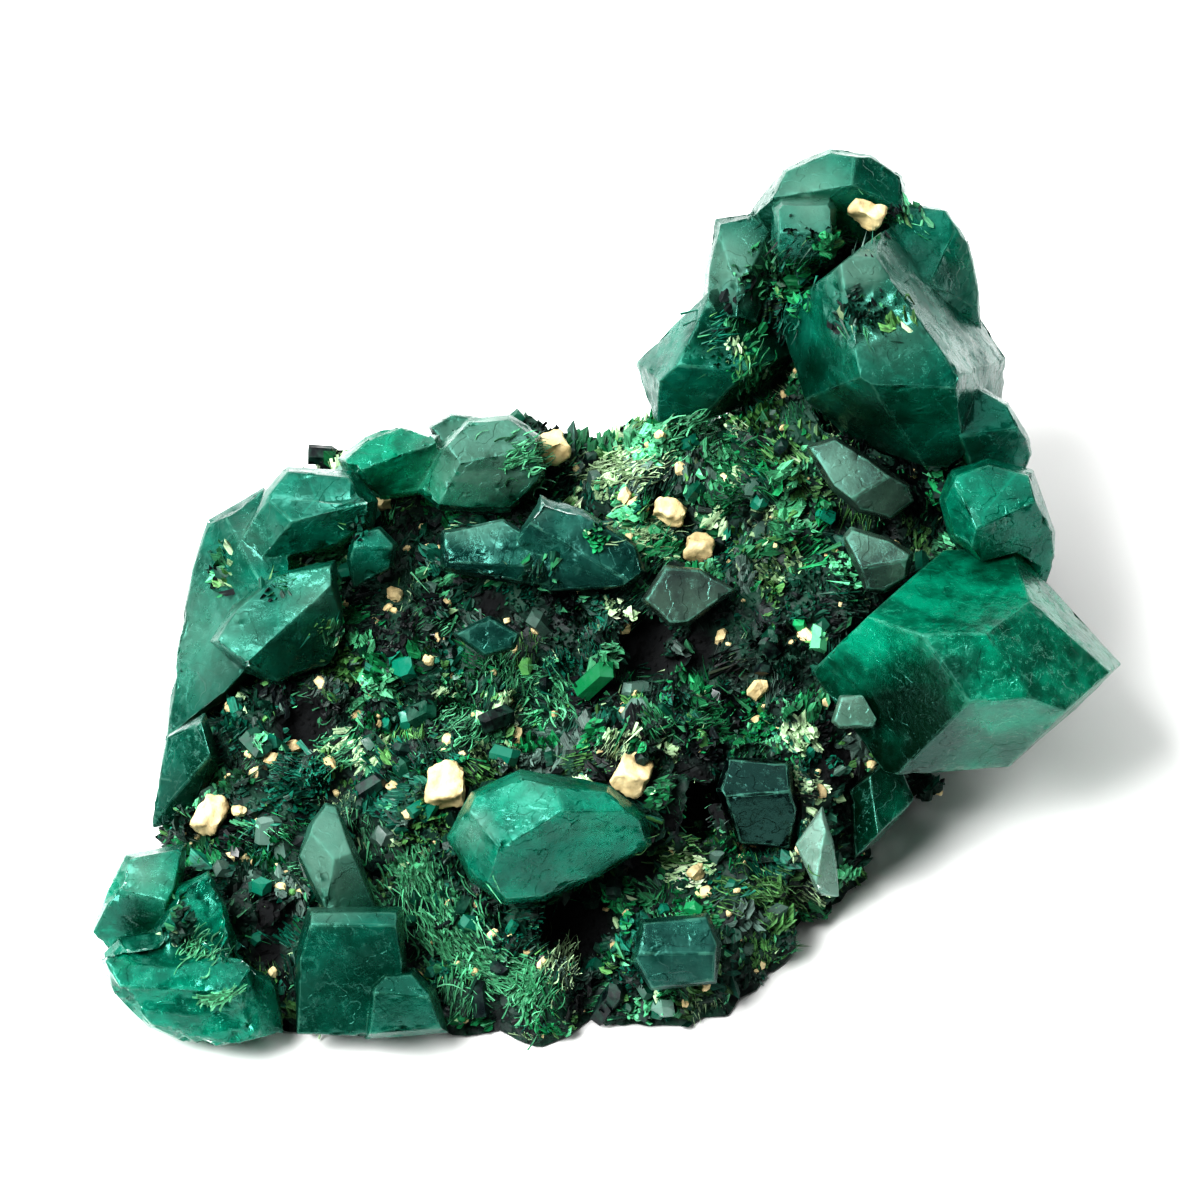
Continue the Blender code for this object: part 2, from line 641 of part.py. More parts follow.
def add_small_crystals(rock, sockets):
    """Fuses small six-sided crystals to the crust, clear of the large ones."""
    rng = random.Random(SMALL_SEED)
    graph = bpy.context.evaluated_depsgraph_get()
    tree = BVHTree.FromObject(rock, graph)
    large = [BVHTree.FromObject(socket, graph) for socket in sockets]
    crust = None
    placed = []
    while len(placed) < SMALL_COUNT:
        across = rng.uniform(*SMALL_ACROSS)
        uphill = rng.uniform(*SMALL_UPHILL)
        radius = rng.uniform(*SMALL_RADIUS) * MM
        turn = Matrix.Rotation(rng.uniform(0, math.tau), 4, OUTWARD)
        sideways = Matrix.Rotation(rng.uniform(-SMALL_TIP, SMALL_TIP), 4, UPHILL)
        tip = Matrix.Rotation(rng.uniform(-SMALL_TIP, SMALL_TIP), 4, RIGHT) @ sideways
        place, normal = surface_under(tree, across, uphill)
        if place is None or normal.dot(OUTWARD) < LEAST_FACING:
            continue
        if any((place - other).length < SMALL_SPACING * MM for other in placed):
            continue
        if any(near_large(other, place, radius) for other in large):
            continue
        placed.append(place)
        stand = OUTWARD.to_track_quat("Z", "Y").to_matrix().to_4x4()
        bm = bmesh.new()
        bmesh.ops.create_cone(
            bm, cap_ends=True, segments=SMALL_SIDES, radius1=radius, radius2=radius * SMALL_TAPER,
            depth=radius * SMALL_LENGTH, matrix=Matrix.Translation(place) @ tip @ turn @ stand,
        )
        small = make_object("small crystal", bm)
        if crust is None:
            crust = small
        else:
            boolean(crust, small, "UNION")
            remove(small)
    boolean(rock, crust, "UNION")
    remove(crust)


def near_large(tree, place, radius):
    spot, normal, _, distance = tree.find_nearest(place)
    return distance < radius + CLEAR_OF_LARGE or (place - spot).dot(normal) < 0


def hollow_out(rock):
    for across, uphill, height, radius in HOLLOWS:
        bm = bmesh.new()
        place = Matrix.Translation(seen_point(across, uphill, height))
        bmesh.ops.create_icosphere(bm, subdivisions=2, radius=radius * MM, matrix=place)
        hollow = make_object("hollow", bm)
        boolean(rock, hollow, "DIFFERENCE")
        remove(hollow)


def make_grain(name, place, half, grow=0):
    """A blunt cream crystal: an eight-cornered block with its corners cut."""
    rng = random.Random(sum(half))
    spin = Matrix.Rotation(rng.uniform(0, math.tau), 4, OUTWARD)
    turn = spin @ Matrix.Rotation(rng.uniform(-GRAIN_TIP, GRAIN_TIP), 4, RIGHT)
    planes = []
    for corner in range(14):
        if corner < 6:
            normal = Vector((0, 0, 0))
            normal[corner // 2] = 1 if corner % 2 else -1
        else:
            normal = Vector([1 if (corner - 6) >> axis & 1 else -1 for axis in range(3)]).normalized()
        reach = sum(abs(normal[axis]) * half[axis] for axis in range(3))
        if corner >= 6:
            reach *= rng.uniform(*GRAIN_CORNERS)
        direction = turn.to_3x3() @ normal
        planes.append((place + direction * reach * MM, direction))
    return cut_solid(name, place, planes, grow)


def grain_pieces(rock, crystals, sockets):
    """Cream grains, each half sunk in its own socket in the crust."""
    tree = join_tree([rock] + crystals)
    grains = []
    for name, (across, uphill, *half) in GRAINS.items():
        place, normal = surface_under(tree, across, uphill)
        place = place + OUTWARD * GRAIN_STAND * half[2] * MM
        grain = make_grain(name, place, half)
        socket = make_grain("socket for " + name, place, half, SOCKET_GAP)
        boolean(rock, socket, "DIFFERENCE")
        remove(socket)
        for other in sockets:
            boolean(grain, other, "DIFFERENCE")
        keep_main_body(grain)
        give_material(grain, CREAM, GRAIN_ROUGHNESS)
        grains.append(grain)
    return grains


def join_tree(items):
    """One search tree over several pieces."""
    corners = []
    faces = []
    for item in items:
        base = len(corners)
        corners += [vertex.co.copy() for vertex in item.data.vertices]
        faces += [[base + index for index in face.vertices] for face in item.data.polygons]
    return BVHTree.FromPolygons(corners, faces)


def centre_on_base(items):
    """Hangs every piece on one empty, with the middle of the whole above the origin."""
    corners = [vertex.co for item in items for vertex in item.data.vertices]
    low = [min(corner[axis] for corner in corners) for axis in range(3)]
    high = [max(corner[axis] for corner in corners) for axis in range(3)]
    specimen = bpy.data.objects.new("specimen", None)
    bpy.context.collection.objects.link(specimen)
    specimen.location = (-(low[0] + high[0]) / 2, -(low[1] + high[1]) / 2, 0)
    for item in items:
        item.parent = specimen
    print("size", [round((high[axis] - low[axis]) / MM, 1) for axis in range(3)], "mm")


def build():
    clear_scene()
    crystals, sockets = crystal_pieces()
    rock = heaped_rock()
    hollow_out(rock)
    add_small_crystals(rock, sockets)
    cut_flat(rock.data)
    for socket in sockets:
        boolean(rock, socket, "DIFFERENCE")
    grains = grain_pieces(rock, crystals, sockets)
    keep_main_body(rock)
    rock.name = "rock_with_crust"
    give_material(rock, COLOURS["rock_with_crust"], ROCK_SURFACE_ROUGHNESS)
    for socket in sockets:
        remove(socket)
    centre_on_base([rock] + crystals + grains)


build()
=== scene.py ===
# %% [markdown]
# # A dioptase specimen
# Dioptase is a green copper mineral. This piece is a slab of rock with a crust of small crystals, and large
# crystals stand out of the crust. The solids of the big crystals and the rock come packed, at their real
# size. What is left to make is the look: worn growth faces, clear green depth, and the thousands of flakes,
# fibres and grains that make up the crust.

# %% Load the solids
import math
import random

import bmesh
import bpy
import numpy as np
from mathutils import Matrix, Vector, noise
from mathutils.bvhtree import BVHTree


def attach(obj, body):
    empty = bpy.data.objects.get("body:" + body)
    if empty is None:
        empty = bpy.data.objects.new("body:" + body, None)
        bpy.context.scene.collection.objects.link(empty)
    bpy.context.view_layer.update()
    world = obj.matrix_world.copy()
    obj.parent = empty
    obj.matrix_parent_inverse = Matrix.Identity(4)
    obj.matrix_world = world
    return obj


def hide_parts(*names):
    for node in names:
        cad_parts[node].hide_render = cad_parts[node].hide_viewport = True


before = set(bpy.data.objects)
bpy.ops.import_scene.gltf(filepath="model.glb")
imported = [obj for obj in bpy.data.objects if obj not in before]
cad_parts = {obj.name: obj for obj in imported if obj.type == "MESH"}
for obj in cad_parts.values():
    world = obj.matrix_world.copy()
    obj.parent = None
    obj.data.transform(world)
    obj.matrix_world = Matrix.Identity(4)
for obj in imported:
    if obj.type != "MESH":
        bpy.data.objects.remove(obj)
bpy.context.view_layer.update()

MM = 0.001
SEED = 11
# Left alone, Blender's vector noise starts from the clock, and no two crusts would be alike.
noise.seed_set(SEED)
print("solids:", len(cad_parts))

# %% [markdown]
# ## Directions on the specimen
# The crusted side faces forward and up, halfway between level and straight up. It is easier to say where a
# patch lies by how far across and how far uphill it is on that side than by its height above the table.

# %% Directions and the point where measuring starts
FACING = math.radians(50)
RIGHT = Vector((1, 0, 0))
UPHILL = Vector((0, math.sin(FACING), math.cos(FACING)))
OUTWARD = Vector((0, -math.cos(FACING), math.sin(FACING)))
FRONT_EDGE = Vector((-0.396, -23.9, 0)) * MM


def seen_at(point):
    """How far across and uphill a point is, in millimetres."""
    away = (point - FRONT_EDGE) / MM
    return away.dot(RIGHT), away.dot(UPHILL)


# %% [markdown]
# ## Floor, light and camera
# The photograph is a studio picture on white. One wide soft light hangs over the specimen and a little
# behind it, so that faces turned upward carry a pale sheen. A smaller key light in front, to the left,
# models the crust and is too small to veil the glassy faces with its reflection.
# A long lens far away keeps the crystals from bulging toward the viewer.

# %% Camera
PICTURE_WIDTH = 70.7 * MM
PICTURE_MIDDLE = 26.8
CAMERA_DISTANCE = 2.5
SENSOR = 36
WORLD_LIGHT = 0.15
FLOOR_HALF = 3
FLOOR_DROP = 0.2 * MM

middle = FRONT_EDGE + UPHILL * PICTURE_MIDDLE * MM
camera = bpy.data.objects.new("camera", bpy.data.cameras.new("camera"))
bpy.context.collection.objects.link(camera)
camera.data.lens = SENSOR * CAMERA_DISTANCE / PICTURE_WIDTH
camera.data.sensor_width = SENSOR
camera.location = middle + OUTWARD * CAMERA_DISTANCE
camera.rotation_euler = OUTWARD.to_track_quat("Z", "Y").to_euler()
bpy.context.scene.camera = camera
bpy.context.scene.view_settings.view_transform = "Standard"
bpy.context.scene.view_settings.look = "High Contrast"
print("lens", round(camera.data.lens), "mm")

# %% Floor and lights
def add_light(name, place, width, power):
    """A square soft light that points at the specimen."""
    light = bpy.data.lights.new(name, "AREA")
    light.shape = "SQUARE"
    light.size = width
    light.energy = power
    item = bpy.data.objects.new(name, light)
    bpy.context.collection.objects.link(item)
    item.location = middle + Vector(place)
    item.rotation_euler = Vector(place).to_track_quat("Z", "Y").to_euler()


add_light("softbox", (-0.15, 0.45, 0.55), width=1.5, power=9.0)
add_light("key", (-0.36, -0.18, 0.52), width=0.45, power=9.0)

world = bpy.data.worlds.new("studio")
world.use_nodes = True
world.node_tree.nodes["Background"].inputs["Color"].default_value = (1, 1, 1, 1)
world.node_tree.nodes["Background"].inputs["Strength"].default_value = WORLD_LIGHT
bpy.context.scene.world = world

bm = bmesh.new()
bmesh.ops.create_grid(bm, x_segments=1, y_segments=1, size=FLOOR_HALF)
floor = bpy.data.objects.new("floor", bpy.data.meshes.new("floor"))
bm.to_mesh(floor.data)
bm.free()
bpy.context.collection.objects.link(floor)
floor.location.z = -FLOOR_DROP

# %% [markdown]
# ## Writing shaders as sums
# A material is a tree of small nodes. Written as Python sums it stays readable: a wrapped socket can be
# added, multiplied and compared, and each sign adds its Math node.

# %% Shader helpers
class Shade:
    """One output of a shader node, which can be used in sums."""

    def __init__(self, finish, socket):
        self.finish = finish
        self.socket = socket

    def sum(self, operation, first, second):
        return self.finish.node("ShaderNodeMath", {"operation": operation}, {0: first, 1: second})

    def __add__(self, other):
        return self.sum("ADD", self, other)

    def __sub__(self, other):
        return self.sum("SUBTRACT", self, other)

    def __mul__(self, other):
        return self.sum("MULTIPLY", self, other)

    def __gt__(self, other):
        return self.sum("GREATER_THAN", self, other)

    __radd__ = __add__


class Finish:
    """A material while it is mixed: its nodes, its shader and its surface coordinates."""

    def __init__(self, name):
        self.material = bpy.data.materials.new(name)
        self.material.use_nodes = True
        self.tree = self.material.node_tree
        self.shader = self.tree.nodes["Principled BSDF"]
        self.place = self.node("ShaderNodeTexCoord", output="Object")

    def node(self, kind, settings=None, values=None, output=0):
        """A new node with its settings and inputs filled in."""
        made = self.tree.nodes.new(kind)
        for key, value in (settings or {}).items():
            if key == "stops":
                self.set_stops(made.color_ramp, value)
            else:
                setattr(made, key, value)
        for key, value in (values or {}).items():
            self.feed(made.inputs[key], value)
        return Shade(self, made.outputs[output])

    def feed(self, socket, value):
        """A link for a wrapped socket, a plain setting for a constant."""
        if isinstance(value, Shade):
            self.tree.links.new(value.socket, socket)
        else:
            socket.default_value = value

    def set_stops(self, ramp, stops):
        while len(ramp.elements) < len(stops):
            ramp.elements.new(0.5)
        for element, (position, colour) in zip(ramp.elements, stops):
            element.position = position
            element.color = colour

    def set(self, **values):
        for name, value in values.items():
            self.feed(self.shader.inputs[name.replace("_", " ")], value)

    def noise(self, size, detail=3, rough=0.5, stretch=(1, 1, 1)):
        """Clouds with patches of about this many millimetres."""
        place = self.node("ShaderNodeMapping", values={"Vector": self.place, "Scale": stretch})
        values = {"Vector": place, "Scale": 1 / (size * MM), "Detail": detail, "Roughness": rough}
        return self.node("ShaderNodeTexNoise", values=values)

    def cells(self, size, feature="F1"):
        """Distances in a pattern of cells of about this many millimetres."""
        values = {"Vector": self.place, "Scale": 1 / (size * MM)}
        return self.node("ShaderNodeTexVoronoi", {"feature": feature}, values)

    def stored(self, name, output="Fac"):
        """What the mesh keeps for each point under a name."""
        return self.node("ShaderNodeAttribute", {"attribute_name": name}, output=output)

    def ramp(self, value, *stops):
        """A curve through (position, level) stops."""
        grey = [(position, (level, level, level, 1)) for position, level in stops]
        return self.node("ShaderNodeValToRGB", {"stops": grey}, {"Fac": value})

    def mix(self, factor, first, second, blend="MIX"):
        settings = {"data_type": "RGBA", "blend_type": blend}
        return self.node("ShaderNodeMix", settings, {0: factor, 6: first, 7: second}, output=2)

    def bump(self, height, depth, below=None):
        """Relief with the given depth in millimetres, over another relief if there is one."""
        values = {"Height": height, "Distance": depth * MM, "Strength": 1.0}
        if below is not None:
            values["Normal"] = below
        return self.node("ShaderNodeBump", values=values)


def colour(red, green, blue):
    """A colour as a paint program gives it, 0 to 255, made ready for the shader."""
    levels = []
    for part in (red, green, blue):
        level = part / 255
        levels.append(((level + 0.055) / 1.055) ** 2.4 if part > 10 else level / 12.92)
    return (*levels, 1)


# %% Floor finish
def floor_finish():
    finish = Finish("white_table")
    finish.set(Base_Color=colour(246, 246, 245), Roughness=0.6)
    finish.set(Specular_IOR_Level=0.2)
    return finish.material


floor.data.materials.append(floor_finish())

# %% [markdown]
# ## Dioptase
# Inside, dioptase is clear bottle green: light that crosses a few millimetres loses its red. Cracks and
# veils scatter some of it back. Outside, the faces are glassy but never perfect. They carry low growth steps,
# frosted patches and a little dust. So the finish is part clear glass with plain absorption and part milky
# green. Where a point lies close to the rock, and in a list of shaded parts, the green turns deep: partly
# the dark rock showing through, partly painted shade. Faces turned up get a pale frost colour that is partly
# painted sheen.

# %% Dioptase finish
DIOPTASE_IOR = 1.67
SHEEN = (0.35, 0.95, 0.8, 1)
PASSED_LIGHT = (0.0, 0.80, 0.62, 1)
# The pale frost colour also serves as painted sheen on faces turned up.
DUST, FROST_AND_SHEEN, RUBBED = colour(110, 165, 140), colour(120, 156, 140), colour(104, 168, 146)


def dioptase_finish(name, deep, body, veil, clear, frost, absorb):
    """
    Green crystal: deep at the root and in the listed shaded parts, partly painted shade, body above it, with
    paler veils and cracks inside, and a pale frost colour that is partly painted sheen. Clear is the share
    that is glass, frost the roughness of the frosted parts, and absorb how fast the glass takes up light.
    """
    finish = Finish(name)
    rise = finish.stored("rise")
    frost_and_sheen = finish.stored("frost")
    edge = finish.stored("worn_edge")
    clouds = finish.noise(4.5, detail=4, rough=0.6)
    wisps = finish.noise(1.1, detail=5, rough=0.7, stretch=(1, 1, 2.2))
    # Painted shade: the inside turns to the deep colour near the rock and in the listed shaded parts.
    root = finish.ramp(rise + clouds * 0.7 - 0.35, (0.02, 0), (0.75, 1))
    veils = finish.ramp(clouds + wisps * 0.35, (0.52, 0), (0.80, 1))
    cracks = finish.ramp(finish.cells(4.5, "DISTANCE_TO_EDGE"), (0.0, 1), (0.022, 0)) * (wisps > 0.5)
    depths = finish.ramp(finish.noise(2.4, detail=6, rough=0.65), (0.40, 1), (0.56, 0))
    clear_parts = finish.mix(depths * 0.6, finish.mix(veils, body, veil), deep)
    inside = finish.mix(root, deep, finish.mix(cracks * 0.55, clear_parts, veil))

    growth = ((0.40, 0), (0.41, 0.4), (0.52, 0.45), (0.525, 0.8), (0.62, 0.85), (0.625, 1))
    steps = finish.ramp(finish.noise(3.2, detail=3), *growth)
    grain = finish.noise(0.35, detail=4, rough=0.65)
    dust = finish.ramp(finish.noise(0.6, detail=6, rough=0.8), (0.56, 0), (0.70, 1))
    frosted = finish.ramp(finish.noise(4.0, detail=5, rough=0.7), (0.42, 0), (0.62, 1))
    dusted = finish.mix(dust * 0.12, inside, DUST)
    rubbed = finish.ramp(edge * (0.35 + dust * 0.4 + wisps * 0.5), (0.45, 0), (0.72, 1))
    # Painted sheen: faces turned up toward the soft light are mixed toward the pale frost colour, which is
    # partly real frost.
    frosted_and_sheened = finish.mix(frost_and_sheen * (0.5 + wisps * 0.6), dusted, FROST_AND_SHEEN)
    finish.set(Base_Color=finish.mix(rubbed * 0.5, frosted_and_sheened, RUBBED))
    finish.set(Roughness=0.10 + frosted * frost + dust * 0.2 + frost_and_sheen * 0.2 + rubbed * 0.2)
    low = finish.bump(steps, 0.08)
    finish.set(Normal=finish.bump(grain + dust * 0.5, 0.03, low))

    finish.set(IOR=DIOPTASE_IOR, Specular_IOR_Level=0.3, Specular_Tint=SHEEN, Transmission_Weight=clear)
    passed = {"Color": PASSED_LIGHT, "Density": absorb}
    absorption = finish.node("ShaderNodeVolumeAbsorption", values=passed)
    finish.tree.links.new(absorption.socket, finish.tree.nodes["Material Output"].inputs["Volume"])
    return finish.material


BRIGHT = dioptase_finish(
    "bright_dioptase", colour(0, 38, 24), colour(0, 128, 98), colour(8, 186, 148),
    clear=0.62, frost=0.2, absorb=640,
)
TOWER = dioptase_finish(
    "tower_dioptase", colour(0, 56, 42), colour(0, 98, 80), colour(16, 136, 114),
    clear=0.56, frost=0.3, absorb=800,
)
TEAL = dioptase_finish(
    "teal_dioptase", colour(8, 40, 38), colour(14, 66, 60), colour(36, 100, 88),
    clear=0.5, frost=0.3, absorb=700,
)
SLATE = dioptase_finish(
    "slate_dioptase", colour(44, 51, 50), colour(66, 76, 72), colour(84, 106, 94),
    clear=0.3, frost=0.3, absorb=700,
)
# Near-black dioptase for the crystal in the dark hollow: painted shade.
DARK = dioptase_finish(
    "dark_dioptase", colour(4, 10, 12), colour(8, 18, 20), colour(16, 34, 36),
    clear=0.3, frost=0.2, absorb=900,
)
TURQUOISE = dioptase_finish(
    "broken_dioptase", colour(0, 60, 46), colour(0, 116, 94), colour(4, 176, 144),
    clear=0.6, frost=0.2, absorb=700,
)
PALE = dioptase_finish(
    "pale_dioptase", colour(84, 116, 102), colour(130, 156, 144), colour(150, 172, 160),
    clear=0.4, frost=0.3, absorb=400,
)
print("dioptase finishes made")

# %% [markdown]
# ## Large crystals
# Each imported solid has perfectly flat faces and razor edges. On the real crystals the faces are just as
# flat, but the edges are a hair's breadth wide and chipped here and there. A Bevel modifier could take the
# edges off, but it can't chip them. So the edges are bevelled by operator, the faces are cut along a grid
# that leaves them flat, and then single points of the edges are pushed in.

# %% Crystal shapes
# Lengths are in millimetres. Pairs in WANDER and its like are the size and depth of a cloud of bumps.
CRYSTAL_CELL = 0.5
FINE_CELL = 0.32
FINE_NODES = ("corner_crystals", "bright_crystal", "back_crystals", "slate_crystals")
EDGE_WIDTH = 0.09
FLAT_TURN = math.radians(1)
EDGE_TURN = math.radians(16)
SHARP_TURN = math.radians(24)
WELD = 0.02
WANDER = ((5.0, 0.06), (1.3, 0.025))
CHIP_DEPTH, CHIP_SIZE, CHIP_START = 0.5, 0.8, 0.22
# Painted shade near the rock fades out over this height.
ROOT_HEIGHT = 5.0


def cad_copy(node):
    """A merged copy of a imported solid."""
    bm = bmesh.new()
    bm.from_mesh(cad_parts[node].data)
    bmesh.ops.remove_doubles(bm, verts=bm.verts[:], dist=1e-7)
    return bm


def new_piece(name, bm):
    """An object with the shape that was worked on."""
    mesh = bpy.data.meshes.new(name)
    bm.to_mesh(mesh)
    bm.free()
    piece = bpy.data.objects.new(name, mesh)
    bpy.context.collection.objects.link(piece)
    return piece


def soften_edges(bm, width):
    """A narrow bevel along every edge that stands out."""
    bmesh.ops.dissolve_limit(bm, angle_limit=FLAT_TURN, verts=bm.verts[:], edges=bm.edges[:])
    sharp = [edge for edge in bm.edges if edge.is_convex and edge.calc_face_angle(0) > EDGE_TURN]
    bmesh.ops.bevel(
        bm, geom=sharp, offset=width * MM, segments=2, profile=0.5, affect="EDGES", clamp_overlap=False
    )


def divide_evenly(bm, cell):
    """Cuts all faces along a grid, which leaves them flat."""
    bmesh.ops.triangulate(bm, faces=bm.faces[:])
    for axis in range(3):
        places = [vertex.co[axis] for vertex in bm.verts]
        low, high = min(places), max(places)
        for step in range(1, math.ceil((high - low) / (cell * MM))):
            place, normal = Vector((0, 0, 0)), Vector((0, 0, 0))
            place[axis] = low + step * cell * MM
            normal[axis] = 1
            everything = bm.verts[:] + bm.edges[:] + bm.faces[:]
            bmesh.ops.bisect_plane(bm, geom=everything, plane_co=place, plane_no=normal)
    bmesh.ops.triangulate(bm, faces=bm.faces[:])
    bmesh.ops.remove_doubles(bm, verts=bm.verts[:], dist=WELD * MM)


def wander(point, layers):
    """How far a point is pushed, in millimetres, by clouds of the given sizes and depths."""
    return sum(noise.noise(point / (size * MM)) * depth for size, depth in layers)


# %% Pits in the faces
# Each pit: how far across and uphill it lies, half its width and height, and its depth.
PITS = {
    "tower_crystals": [(15.8, 43.6, 2.3, 1.5, 0.8), (7.3, 42.2, 1.7, 1.5, 0.7), (9.0, 45.5, 1.4, 1.2, 0.4)],
    "right_point_crystal": [(27.2, 18.2, 1.2, 0.8, 0.3)],
    "corner_crystals": [(-21.8, 2.3, 1.6, 1.0, 0.5), (-24.0, 8.8, 1.3, 0.8, 0.4)],
    "rim_crystals": [(-12.5, 34.0, 2.0, 1.4, 0.4), (-4.2, 36.3, 1.4, 1.6, 0.4)],
}
PIT_RIM_SIZE, PIT_RIM_WANDER = 1.1, 0.8
PIT_BUMP_SIZE = 0.5
PIT_STEEPNESS = 4


def pit_depth(node, point, normal):
    """How deep a face is pitted at a point."""
    if normal.dot(OUTWARD) < 0.1:
        return 0
    across, uphill = seen_at(point)
    deepest = 0
    for x, y, half_width, half_height, depth in PITS.get(node, ()):
        away = math.hypot((across - x) / half_width, (uphill - y) / half_height)
        away += noise.noise(point / (PIT_RIM_SIZE * MM)) * PIT_RIM_WANDER
        if away < 1:
            rough = 0.55 + noise.noise(point / (PIT_BUMP_SIZE * MM)) * 0.9
            deepest = max(deepest, depth * min(1, (1 - away) * PIT_STEEPNESS) * rough)
    return deepest


# %% Worn crystals
rock_bm = cad_copy("rock_with_crust")
packed_rock = BVHTree.FromBMesh(rock_bm)
rock_bm.free()

# How strongly each crystal is broken in steps.
TERRACES = {
    "corner_crystals": 1.5, "bright_crystal": 0.35, "rim_crystals": 0.4, "back_crystals": 0.5,
    "tower_crystals": 0.3, "slate_crystals": 0.5,
}
TERRACE_STEP = 0.16
TERRACE_SIZE = 2.2
TERRACE_COUNT = 5


def terrace(node, point):
    """How deep the broken, stepped parts of a face lie at a point, in whole steps."""
    long_way = Vector((point.x * 0.45 + point.z * 0.3, point.y, point.z)) / (TERRACE_SIZE * MM)
    return round(max(0, noise.noise(long_way) + 0.05) * TERRACE_COUNT) * TERRACE_STEP * TERRACES.get(node, 0)


def wear(bm, node):
    """Wanders the faces, chips the edges and sinks steps and pits; tells which points lie on an edge."""
    bm.normal_update()
    moves = []
    on_edge = []
    for vertex in bm.verts:
        push = wander(vertex.co, WANDER) - terrace(node, vertex.co)
        push -= pit_depth(node, vertex.co, vertex.normal)
        edge_turn = max((edge.calc_face_angle(0) for edge in vertex.link_edges), default=0)
        on_edge.append(1.0 if edge_turn > EDGE_TURN / 2 else 0.0)
        chip = max(0, noise.noise(vertex.co / (CHIP_SIZE * MM)) - CHIP_START)
        push -= on_edge[-1] * CHIP_DEPTH * chip
        moves.append(vertex.normal * push * MM)
    for vertex, move in zip(bm.verts, moves):
        vertex.co += move
        vertex.co.z = max(vertex.co.z, 0)
    return on_edge


# Each part: how far across and uphill it lies, its reach, and the amount.
# Frosted faces, where the pale frost colour is partly painted sheen.
FROST_AND_SHEEN_FACES = [
    (-5.5, 35.2, 4.5, 1.0), (-7.6, 34.2, 4.5, 1.0), (15.2, 46.4, 2.6, 1.0), (12.5, 50.5, 3.2, 0.6),
    (7.6, 46.5, 3.0, 0.7), (17.0, 43.0, 4.5, 0.3), (-16.5, 26.5, 3.0, 0.4), (-16.4, 11.6, 4.5, 1.0),
    (-7.6, 13.2, 1.8, 0.8), (-4.0, 16.0, 2.4, 0.25), (13.8, 35.0, 2.5, 0.4), (15.3, 31.3, 2.5, 0.4),
    (-27.0, 10.8, 2.2, 0.5), (-20.5, 30.5, 2.0, 0.3), (-24.0, 25.0, 5.0, 0.4),
]
# Parts where the crystals are painted with shade, darkened toward the deep colour.
PAINTED_SHADE_PARTS = [
    (18.0, 19.0, 6.5, 1.0), (24.0, 17.5, 4.5, 0.5), (15.5, 37.0, 4.0, 0.9), (12.5, 40.5, 2.5, 0.6),
    (-14.5, 4.5, 7.0, 0.5), (-11.2, 2.8, 4.0, 0.4), (7.0, 42.5, 3.5, 0.6), (-17.0, 23.5, 3.0, 0.5),
    (12.1, 47.0, 1.5, 0.6), (22.5, 29.0, 2.5, 0.5), (-27.2, 8.0, 2.5, 0.7), (0.5, 11.0, 3.0, 0.4),
]
# Faces turned this way, up toward the soft light, get the most painted sheen.
LIT_SIDE = (OUTWARD + Vector((0, 0.5, 0.3))).normalized()


def strongest(parts, across, uphill):
    """The amount of the nearest part of a list, fading toward its edge."""
    fades = (amount * (1 - math.hypot(across - x, uphill - y) / reach) for x, y, reach, amount in parts)
    return max(0, *fades)


def keep(mesh, name, levels):
    """Stores a number for each point, for the finish to read."""
    mesh.attributes.new(name, "FLOAT", "POINT").data.foreach_set("value", levels)


def store_looks(piece, on_edge):
    """Keeps three numbers per point for the finish: height above the rock with painted shade, frost with
    painted sheen, and worn edges.
    """
    out_of_shade_levels, frost_and_sheen_levels = [], []
    for vertex in piece.data.vertices:
        across, uphill = seen_at(vertex.co)
        rise = min(1, packed_rock.find_nearest(vertex.co)[3] / (ROOT_HEIGHT * MM))
        facing = max(0, vertex.normal.dot(LIT_SIDE))
        out_of_shade_levels.append(rise * (1 - min(1, 1.6 * strongest(PAINTED_SHADE_PARTS, across, uphill))))
        frost_and_sheen_levels.append(min(1, strongest(FROST_AND_SHEEN_FACES, across, uphill) * 2 * facing))
    keep(piece.data, "worn_edge", on_edge)
    keep(piece.data, "rise", out_of_shade_levels)
    keep(piece.data, "frost", frost_and_sheen_levels)


def finish_crystal(node, material):
    """A worn copy of a packed crystal, which takes its place."""
    bm = cad_copy(node)
    soften_edges(bm, EDGE_WIDTH)
    divide_evenly(bm, FINE_CELL if node in FINE_NODES else CRYSTAL_CELL)
    on_edge = wear(bm, node)
    piece = new_piece(node + "_worn", bm)
    store_looks(piece, on_edge)
    piece.data.shade_smooth()
    piece.data.set_sharp_from_angle(angle=SHARP_TURN)
    piece.data.materials.clear()
    piece.data.materials.append(material)
    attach(piece, "root")
    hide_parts(node)
    return piece


CRYSTAL_FINISH = {
    "tower_crystals": TOWER,
    "right_point_crystal": BRIGHT,
    "tower_foot_crystal": TURQUOISE,
    "rim_crystals": TOWER,
    "rim_low_crystal": TOWER,
    "rim_small_crystal": TOWER,
    "back_crystals": BRIGHT,
    "back_small_crystal": BRIGHT,
    "corner_crystals": TURQUOISE,
    "front_crystals": TOWER,
    "bright_crystal": TURQUOISE,
    "slate_crystals": TEAL,
    "slate_diamond": SLATE,
    "small_diamond": TEAL,
    "slope_upper_crystal": SLATE,
    "slope_lower_crystal": SLATE,
    "pale_chip": PALE,
    "front_square": TEAL,
    "dark_hollow_crystal": DARK,
    "edge_blade": PALE,
    "edge_crystal": BRIGHT,
}
crystals = {node: finish_crystal(node, material) for node, material in CRYSTAL_FINISH.items()}
print("crystal faces:", sum(len(piece.data.polygons) for piece in crystals.values()))

# %% [markdown]
# ## Cream grains
# Calcite grains sit between the crystals. They are dull, slightly waxy and warm in colour, and their
# corners are rubbed round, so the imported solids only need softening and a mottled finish.

